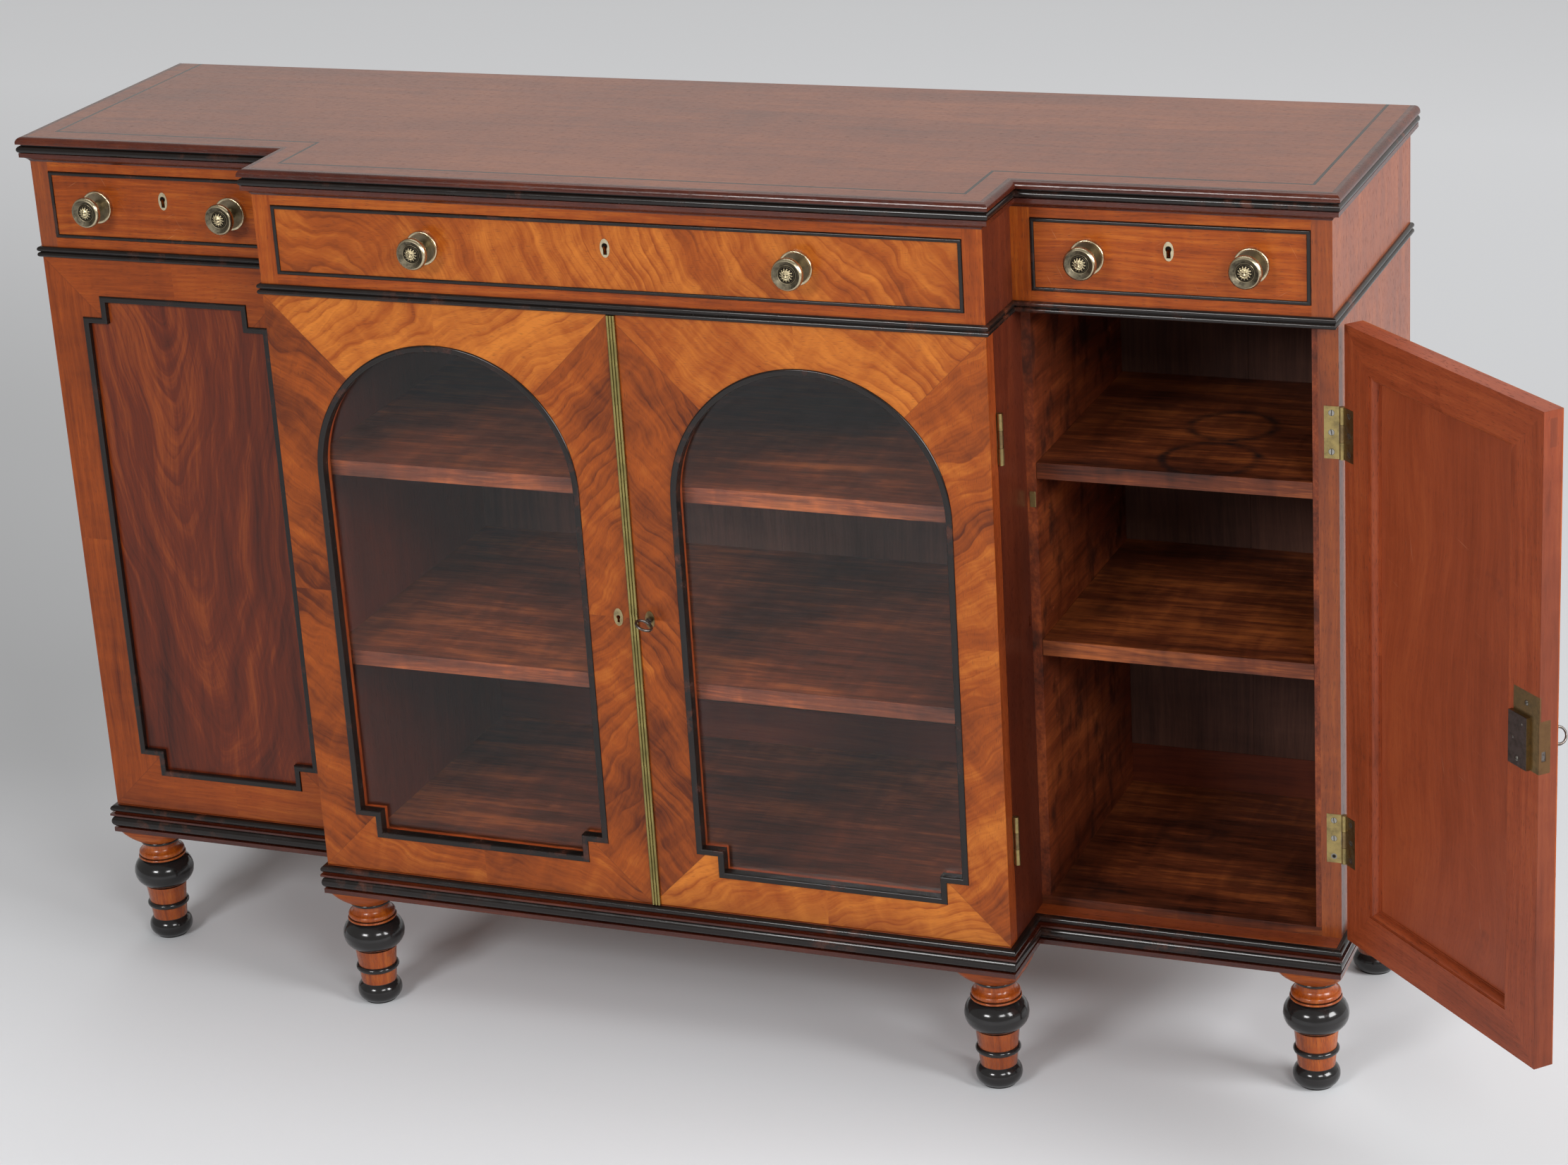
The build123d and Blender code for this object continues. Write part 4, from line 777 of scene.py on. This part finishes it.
def makeScrewTree():  # one head on every point, facing as the point says, its slot turned by chance
    tree = bpy.data.node_groups.new("screwsOnPoints", "GeometryNodeTree")
    sockets = {label: addInput(tree, label, kind, value) for label, kind, value in (
        ("Points", "Geometry", None), ("Head", "Object", None), ("Radius", "Float", screws["radius"]),
        ("Least turn", "Float", -0.2), ("Most turn", "Float", 0.2), ("Seed", "Int", screws["seed"]),
        ("Metal", "Material", None))}
    tree.interface.new_socket("Screws", in_out="OUTPUT", socket_type="NodeSocketGeometry")
    given = newNode(tree, "NodeGroupInput")
    head = newNode(tree, "GeometryNodeObjectInfo", {"Object": given["Head"]})
    facing = newNode(tree, "GeometryNodeInputNamedAttribute", {"Name": "facing"}, data_type="FLOAT_VECTOR")
    align = newNode(tree, "FunctionNodeAlignRotationToVector", {"Vector": facing["Attribute"]}, axis="Z")
    chance = newNode(tree, "FunctionNodeRandomValue", {2: given["Least turn"], 3: given["Most turn"],
                                                       "Seed": given["Seed"]}, data_type="FLOAT")
    about = newNode(tree, "FunctionNodeAxisAngleToRotation", {"Axis": (0, 0, 1), "Angle": chance[1]})
    turned = newNode(tree, "FunctionNodeRotateRotation", {0: align[0], 1: about[0]}, rotation_space="LOCAL")
    place = newNode(tree, "GeometryNodeInstanceOnPoints", {"Points": given["Points"], "Instance": head["Geometry"],
                                                           "Rotation": turned[0], "Scale": given["Radius"]})
    real = newNode(tree, "GeometryNodeRealizeInstances", {0: place[0]})
    finish = newNode(tree, "GeometryNodeSetMaterial", {"Geometry": real[0], "Material": given["Metal"]})
    newNode(tree, "NodeGroupOutput", {0: finish[0]})
    return tree, sockets


# heads in metres, turns in radians, places in millimetres about the cabinet's middle; case and door are the faces of
# the hinge leaves there, and below "lostBelow" the right wing's case has lost its screw
screws = {"radius": 0.0029, "domedRadius": 0.0027, "rivetRadius": 0.0013, "seed": 3, "turn": 0.25, "freeTurn": 1.5,
          "hingeHeights": (274.0, 686.0), "between": 18.9, "wing": {"across": 674.0, "case": 20.6, "door": 20.4},
          "centre": {"across": 370.0, "case": -59.4, "door": -59.6}, "lostBelow": 260.0}
# edge and back of each door with a lock; from there, how far across and out each screw and rivet is, and its height
locks = {"door_wing_right": (377.5, 20.0), "door_centre_right": (-4.1, -60.0),
         "screws": ((19.0, 0.0, 520.0), (27.0, 4.0, 465.5)), "rivets": ((33.0, 4.0, 484.0), (20.0, 4.0, 500.0))}
screwTree, screwSockets = makeScrewTree()


def placeScrews(name, body, spots, towardsY, head, metal, radius, spread, turned=False):
    place = openPlace if turned else closedPlace
    points = bpy.data.meshes.new(name + "Points")
    points.from_pydata([place @ (Vector(spot) / 1000) for spot in spots], [], [])
    layer = points.attributes.new("facing", "FLOAT_VECTOR", "POINT")
    for item in layer.data:
        item.vector = place.to_3x3() @ Vector((0, towardsY, 0))
    holder = newObject(name + "Points", points)
    modifier = holder.modifiers.new("screws", "NODES")
    modifier.node_group = screwTree
    for label, value in (("Head", head), ("Radius", radius), ("Least turn", math.pi / 2 - spread),
                         ("Most turn", math.pi / 2 + spread), ("Seed", screws["seed"]), ("Metal", metal)):
        modifier[screwSockets[label]] = value
    bpy.context.view_layer.update()
    mesh = bpy.data.meshes.new_from_object(holder.evaluated_get(bpy.context.evaluated_depsgraph_get()))
    mesh.name = name
    holder.modifiers.remove(modifier)
    bpy.data.objects.remove(holder)
    newPiece(name, mesh, None, body)


def makeScrews():
    flat, domed, hole = (screwHead(kind) for kind in ("flat", "domed", "hole"))
    wing, centre, radius, turn = screws["wing"], screws["centre"], screws["radius"], screws["turn"]
    heights = [middle + step * screws["between"] for middle in screws["hingeHeights"] for step in (-1, 0, 1)]
    onCase, empty = [], []
    for side in (-1, 1):
        for height in heights:
            lost = side == 1 and height < screws["lostBelow"]
            (empty if lost else onCase).append((side * wing["across"], wing["case"], height))
            onCase.append((side * centre["across"], centre["case"], height))
    placeScrews("hingeScrewsCase", "case", onCase, -1, flat, screwSteel, radius, turn)
    placeScrews("emptyScrewHole", "case", empty, -1, hole, screwSteel, radius, 0.0)
    for body, side, part in (("door_wing_left", -1, wing), ("door_wing_right", 1, wing),
                             ("door_centre_left", -1, centre), ("door_centre_right", 1, centre)):
        turned = body == "door_wing_right"
        metal = screwSteelTurned if turned else screwSteel
        spots = [(side * part["across"], part["door"], height) for height in heights]
        placeScrews("hingeScrews_" + body, body, spots, 1, flat, metal, radius, turn, turned)
    for body in ("door_wing_right", "door_centre_right"):
        turned = body == "door_wing_right"
        metal = screwSteelTurned if turned else screwSteel
        edge, back = locks[body]
        for kind, size in (("Screws", screws["domedRadius"]), ("Rivets", screws["rivetRadius"])):
            spots = [(edge + across, back + out, height) for across, out, height in locks[kind.lower()]]
            placeScrews("lock" + kind + "_" + body, body, spots, 1, domed, metal, size, screws["freeTurn"], turned)
    for head in (flat, domed, hole):
        bpy.data.objects.remove(head)


makeScrews()
print("stage: screws placed")

# millimetres; the dome is the knob's head, its top measured from the drawer's front
lionMask = {"radius": 8.75, "rings": 46, "spokes": 132, "domeTop": 27.2, "domeRadius": 16.53, "sink": 0.25}


def maskRelief(across, up):  # height of the cast mask in millimetres, and how hollow the place is
    def bump(x, y, wide, high):
        return math.exp(-((across - x) / wide) ** 2 - ((up - y) / high) ** 2)

    def pair(x, y, wide, high):
        return bump(-x, y, wide, high) + bump(x, y, wide, high)

    radius, turn = math.hypot(across, up), math.atan2(up, across)
    pearls = 0.8 + 0.2 * math.cos(34 * turn)
    rim = 0.62 * math.exp(-((radius - 7.75) / 0.42) ** 2) * pearls
    inFace = 1 - (across / 4.5) ** 2 - ((up + 0.1) / 5.3) ** 2
    height = rim + 1.05 * math.sqrt(max(0.0, inFace))
    lock = 0.5 + 0.5 * math.cos(13 * turn + 1.5 * math.sin(radius * 1.3))
    maneBand = max(0.0, min(1.0, (radius - 3.6) / 1.0)) * max(0.0, min(1.0, (7.1 - radius) / 0.7))
    height += maneBand * (0.18 + 0.5 * lock)
    height += 0.5 * pair(1.55, 1.55, 1.35, 0.5)  # brows
    height += 0.4 * pair(1.6, 0.5, 0.32, 0.26) - 0.85 * pair(1.6, 0.5, 0.75, 0.5)  # eyes in their sockets
    height += 0.5 * pair(1.15, -2.1, 1.0, 0.75) - 0.3 * pair(2.6, -1.3, 0.5, 1.1)  # muzzle and cheeks
    height += 0.5 * pair(3.75, 2.9, 0.75, 0.75) - 0.4 * pair(3.75, 2.9, 0.32, 0.32)  # ears
    height += 0.6 * bump(0, 0.2, 0.55, 1.8) + 0.55 * bump(0, -1.2, 0.9, 0.5)  # nose
    height += 0.35 * bump(0, 3.3, 1.0, 0.9) + 0.35 * bump(0, -4.0, 1.0, 0.55)  # forehead and chin
    mouth = math.exp(-((up + 3.05 - 0.12 * across * across) / 0.27) ** 2 - (across / 2.0) ** 2)
    height -= 0.65 * mouth
    eyes = [min(1.0, bump(x, 0.42, 0.75, 0.42) * 1.1) for x in (-1.6, 1.6)]
    hollow = max(0.0, min(1.0, 1.0 - (height - 0.1) / 0.75), min(1.0, mouth * 1.2), *eyes)
    return max(height, -0.1), hollow


def addMask(shape, layer, across, face):  # in frame metres; the mask looks towards -Y
    def ring(count, radius, sink=None):  # on the knob's domed head, with the relief or sunk into it
        domeTop, domeRadius = lionMask["domeTop"], lionMask["domeRadius"]
        dome = domeTop - (domeRadius - math.sqrt(domeRadius ** 2 - radius ** 2))
        made = []
        for aside, up in circle(count, radius):
            height, hollow = maskRelief(aside, up) if sink is None else (-sink, 1.0)
            point = shape.verts.new((across + aside / 1000, face - (dome + height) / 1000, knobs["height"] + up / 1000))
            point[layer] = hollow
            made.append(point)
        return made

    steps, spokes, radius = lionMask["rings"], lionMask["spokes"], lionMask["radius"]
    rings = [ring(1, 0)] + [ring(spokes, radius * step / steps) for step in range(1, steps + 1)]
    rings.append(ring(spokes, radius, lionMask["sink"]))  # a short wall down into the head closes the piece
    bridge(shape, *rings)
    shape.faces.new(list(reversed(rings[-1])))


def makeMasks():
    for body, front in (("drawer_left", "wingFront"), ("drawer_centre", "centreFront"), ("drawer_right", "wingFront")):
        low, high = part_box(body + "_brass")
        shape = bmesh.new()
        layer = shape.verts.layers.float.new("hollow")
        for across in (low[0] + knobs["inset"], high[0] - knobs["inset"]):
            addMask(shape, layer, across, plan[front] + shiftY)
        mesh = meshOf(shape, "lionMasks_" + body)
        mesh.shade_smooth()
        newPiece("lionMasks_" + body, mesh, maskBrass, body)


makeMasks()
print("stage: cast masks set in the knobs")

recessMoulding = {"left": 423.2, "right": 642.1, "low": 208.3, "high": 752.3, "panelBack": 11.0, "topEdge": 18.7,
                  "width": 7.6, "flat": 1.0, "lip": 1.1, "step": 0.5, "sink": 0.05, "curve": 12}


def makeRecessMoulding(name, body, side, place, material):  # ovolo planted inside a wing door's panel, mitred
    size = recessMoulding
    back, edge, flat = size["panelBack"] - size["sink"], size["topEdge"], size["flat"]
    reach, drop = size["width"] - flat - size["lip"], edge - size["panelBack"] - flat - size["lip"] + size["step"]
    profile = [(-size["sink"], back), (-size["sink"], edge), (flat, edge)]
    for step in range(size["curve"] + 1):
        turn = math.pi / 2 * step / size["curve"]
        profile.append((flat + reach * math.sin(turn), edge - drop + drop * math.cos(turn) - size["step"]))
    profile += [(size["width"], size["panelBack"] + 1.0), (size["width"], back)]
    shape = bmesh.new()
    rings = []
    for inward, depth in profile:
        left, right, low, high = (size["left"] + inward, size["right"] - inward, size["low"] + inward,
                                  size["high"] - inward)
        rings.append([shape.verts.new(place @ (Vector((side * x, depth, z)) / 1000))
                      for x, z in ((left, low), (right, low), (right, high), (left, high))])
    bridge(shape, *rings, rings[0])
    newPiece(name, meshOf(shape, name), material, body)


makeRecessMoulding("panelMouldingRight", "door_wing_right", 1, openPlace, rightWingWood)
makeRecessMoulding("panelMouldingLeft", "door_wing_left", -1, closedPlace, leftWingWood)
print("stage: mouldings planted inside the wing doors")

# the shank's radius and depth from its tip in the lock to its head; the bit's low, high, near and far edge
wingKey = {
    "axis": (398.5, 480.0), "bowTurn": 113.0, "bowMiddle": -15.7, "bowLong": 8.2, "bowWide": 7.7, "wire": 1.35,
    "swell": 0.12, "flatness": 0.85, "steps": 56, "around": 16, "wireSides": 12, "sharp": 35.0,
    "shank": ((0, 14), (1.5, 14), (2.0, 13.5), (2.0, -2.3), (2.7, -2.6), (3.2, -3.2), (3.2, -4.2), (2.7, -4.8),
              (2.1, -5.0), (2.1, -5.6), (2.6, -5.9), (2.6, -6.8), (2.0, -7.3), (1.7, -8.8), (0, -8.8)),
    "bit": (1.2, 7.5, 9.0, 13.4), "bitThick": 2.2, "notch": (1.5, 1.3),
}


def makeWingKey():  # turned shank with its collars, oval bow and notched bit, standing in the lock of the open door
    size = wingKey
    turn = math.radians(size["bowTurn"])
    along, up = Vector((0, 1, 0)), Vector((math.cos(turn), 0, -math.sin(turn)))
    flat = Vector((math.sin(turn), 0, math.cos(turn)))
    axis = Vector((size["axis"][0], 0, size["axis"][1]))
    shape = bmesh.new()

    def place(depth, across, off):
        return shape.verts.new(openPlace @ ((axis + along * depth + up * across + flat * off) / 1000))

    bridge(shape, *[[place(depth, *spot) for spot in circle(size["around"] if radius else 1, radius)]
                    for radius, depth in size["shank"]])
    loops = []
    for cosine, sine in circle(size["steps"]):
        middle = (size["bowMiddle"] + size["bowLong"] * cosine, size["bowWide"] * sine)
        wire = size["wire"] * (1 + size["swell"] * cosine)
        loops.append([place(middle[0] + inPlane * cosine, middle[1] + inPlane * sine, size["flatness"] * off)
                      for inPlane, off in circle(size["wireSides"], wire)])
    bridge(shape, *loops, loops[0])
    low, high, near, far = size["bit"]
    cut, deep = size["notch"]
    first, last = near + cut, far - cut
    outline = ((near, low), (far, low), (far, high), (last, high), (last, high - deep), (first, high - deep),
               (first, high), (near, high))
    faces = [[place(depth, across, side * size["bitThick"] / 2) for depth, across in outline] for side in (-1, 1)]
    cap(shape, *faces)
    bridge(shape, *faces)
    mesh = meshOf(shape, "wingKey")
    mesh.shade_smooth()
    mesh.set_sharp_from_angle(angle=math.radians(size["sharp"]))
    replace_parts(newPiece("wingKey", mesh, keySteelTurned, "key_wing_right"), "door_wing_right_key")


makeWingKey()

strikePlate = {"middle": (382.6, 598.0), "half": (3.0, 8.0), "back": 21.05, "front": 20.45, "bevel": (0.15, 0.2),
               "corner": 1.2, "cornerSteps": 4}


def makeStrikePlate():  # small brass plate with rounded corners and bevelled rim, let into the lining's front edge
    size = strikePlate
    (middleX, middleZ), (halfX, halfZ), corner = size["middle"], size["half"], size["corner"]
    outline = []
    for quarter, (sideX, sideZ) in enumerate(((1, 1), (-1, 1), (-1, -1), (1, -1))):
        for step in range(size["cornerSteps"] + 1):
            turn = math.radians(90 * quarter + 90 / size["cornerSteps"] * step)
            outline.append((sideX * (halfX - corner) + corner * math.cos(turn),
                            sideZ * (halfZ - corner) + corner * math.sin(turn)))
    shape = bmesh.new()
    levels = []
    deep, wide = size["bevel"]
    for depth, inset in ((size["back"], 0.0), (size["front"] + deep, 0.0), (size["front"], wide)):
        ring = [(x - math.copysign(inset, x), z - math.copysign(inset, z)) for x, z in outline]
        levels.append([shape.verts.new(closedPlace @ (Vector((middleX + x, depth, middleZ + z)) / 1000))
                       for x, z in ring])
    bridge(shape, *levels)
    cap(shape, levels[0], levels[-1])
    newPiece("strikePlate", meshOf(shape, "strikePlate"), leafBrass, "case")


makeStrikePlate()

backTongue = {"joints": (0.0, 122.4, 244.8, 367.2, 519.2), "low": 223.0, "high": 896.0, "front": 312.2, "back": 313.8,
              "half": 1.6, "railJoint": 220.85, "reach": 662.0}


def makeBackTongues():  # loose tongues that close the joints between the back boards, and between them and their rail
    size = backTongue
    shape = bmesh.new()
    sides = sorted({side * x for x in size["joints"] for side in (-1, 1)})
    boxes = [(x - size["half"], x + size["half"], size["low"], size["high"]) for x in sides]
    boxes.append((-size["reach"], size["reach"], size["railJoint"] - size["half"], size["railJoint"] + size["half"]))
    for left, right, low, high in boxes:
        corners = ((left, size["front"]), (right, size["front"]), (right, size["back"]), (left, size["back"]))
        ends = [[shape.verts.new(closedPlace @ (Vector((x, y, z)) / 1000)) for x, y in corners] for z in (low, high)]
        cap(shape, *ends)
        bridge(shape, *ends)
    newPiece("backTongues", meshOf(shape, "backTongues"), backWood, "case")


makeBackTongues()
print("stage: key, strike plate and back tongues made")

cameraPlace = {"azimuth": 22.82, "elevation": 21.06, "roll": -3.64, "lens": 84.66, "sensor": 36.0, "sight": 60.0,
               "at": (1.445, -3.13, 1.806)}


def placeCamera():
    azimuth, elevation, roll = (math.radians(cameraPlace[key]) for key in ("azimuth", "elevation", "roll"))
    level = math.cos(elevation)
    ahead = Vector((-math.sin(azimuth) * level, math.cos(azimuth) * level, -math.sin(elevation)))
    right = Vector((math.cos(azimuth), math.sin(azimuth), 0))
    above = right.cross(ahead)
    rolledRight = right * math.cos(roll) + above * math.sin(roll)
    rolledUp = above * math.cos(roll) - right * math.sin(roll)
    data = bpy.data.cameras.new("studioCamera")
    data.sensor_fit = "HORIZONTAL"
    data.sensor_width = cameraPlace["sensor"]
    data.lens = cameraPlace["lens"]
    data.clip_end = cameraPlace["sight"]
    camera = newObject("studioCamera", data)
    turn = Matrix((rolledRight, rolledUp, -ahead)).transposed()
    camera.matrix_world = Matrix.Translation(closedPlace @ Vector(cameraPlace["at"])) @ turn.to_4x4()
    bpy.context.scene.camera = camera


def softLamp(name, at, aim, size, power):
    data = bpy.data.lights.new(name, "AREA")
    data.shape = "RECTANGLE"
    data.size, data.size_y = size
    data.energy = power
    facing = (Vector(aim) - Vector(at)).to_track_quat("-Z", "Y")
    newObject(name, data).matrix_world = Matrix.Translation(Vector(at)) @ facing.to_matrix().to_4x4()


paper = {"left": -14, "right": 14, "near": -8, "far": 16, "roughness": 0.7, "paintedGlow": (0.97, 0.98, 1.0)}


def makeFloor():  # pale paper with painted shadow to the left and the right, painted light in front, and a painted glow behind the cabinet
    mesh = bpy.data.meshes.new("studioFloor")
    left, right, near, far = (paper[key] for key in ("left", "right", "near", "far"))
    mesh.from_pydata([(left, near, 0), (right, near, 0), (right, far, 0), (left, far, 0)], [], [(0, 1, 2, 3)])
    floor = newObject("studioFloor", mesh)
    material = newMaterial("palePaper", specular=0.2)
    tree = material.node_tree
    inputs = tree.nodes["Principled BSDF"].inputs
    put(paper["roughness"], inputs["Roughness"])
    x, y, z = parts(newNode(tree, "ShaderNodeTexCoord")["Object"])
    # painted shadow of the cabinet to the left, fading out far behind
    leftShade = remap(x, -0.7, -1.3, smooth=True) * remap(y, -0.9, 0.4, smooth=True)
    leftShade = leftShade * remap(y, 1.4, 3.2, 1.0, 0.0, smooth=True)
    # painted shadow to the right, near and in front of the cabinet
    rightShade = remap(x, 0.2, 0.8, smooth=True) * remap(y, 0.5, -0.2, smooth=True)
    base = blendColour(leftShade, (0.64, 0.655, 0.68), (0.50, 0.51, 0.525))
    # painted light: the paper made brighter in front
    base = blendColour(remap(y, 0.4, -0.3, smooth=True), base, (0.73, 0.745, 0.77))
    put(blendColour(rightShade, base, (0.56, 0.57, 0.585)), inputs["Base Color"])
    # painted glow from behind the cabinet, seen by the camera, in reflections and through glass, lighting nothing
    seen = newNode(tree, "ShaderNodeLightPath")
    plain = highest(seen["Is Camera Ray"], highest(seen["Is Glossy Ray"], seen["Is Transmission Ray"]))
    put(paper["paintedGlow"], inputs["Emission Color"])
    put(remap(y, 0.6, 3.6, 0.0, 0.26) * plain, inputs["Emission Strength"])
    mesh.materials.append(material)


def makeWorld():  # a pale room, brighter behind the cabinet, where the top board mirrors it
    world = bpy.data.worlds.new("studioWorld")
    world.use_nodes = True
    tree = world.node_tree
    x, y, z = parts(newNode(tree, "ShaderNodeTexCoord")["Generated"])
    behind = remap(y, 0.3, 0.9, 0.30, 0.62, smooth=True)
    seen = newNode(tree, "ShaderNodeLightPath")["Is Camera Ray"]
    inputs = tree.nodes["Background"].inputs
    put(blendValue(seen, behind, 0.6), inputs["Strength"])
    put((1.0, 0.975, 0.94), inputs["Color"])
    bpy.context.scene.world = world


placeCamera()
makeFloor()
makeWorld()
softLamp("sideSoftbox", (3.5, -0.7, 2.0), (0, 0, 0.4), (1.6, 1.4), 120)
softLamp("frontLeftSoftbox", (-1.2, -4.3, 2.7), (0, 0, 0.45), (1.3, 0.9), 95)
softLamp("frontRightSoftbox", (2.6, -3.0, 2.6), (0, 0, 0.45), (1.3, 0.9), 55)
softLamp("overheadSoftbox", (0.0, 0.9, 3.4), (0, 0.1, 0.9), (3.0, 1.6), 30)
bpy.context.scene.view_settings.view_transform = "Standard"
print("stage: camera, floor and light placed")
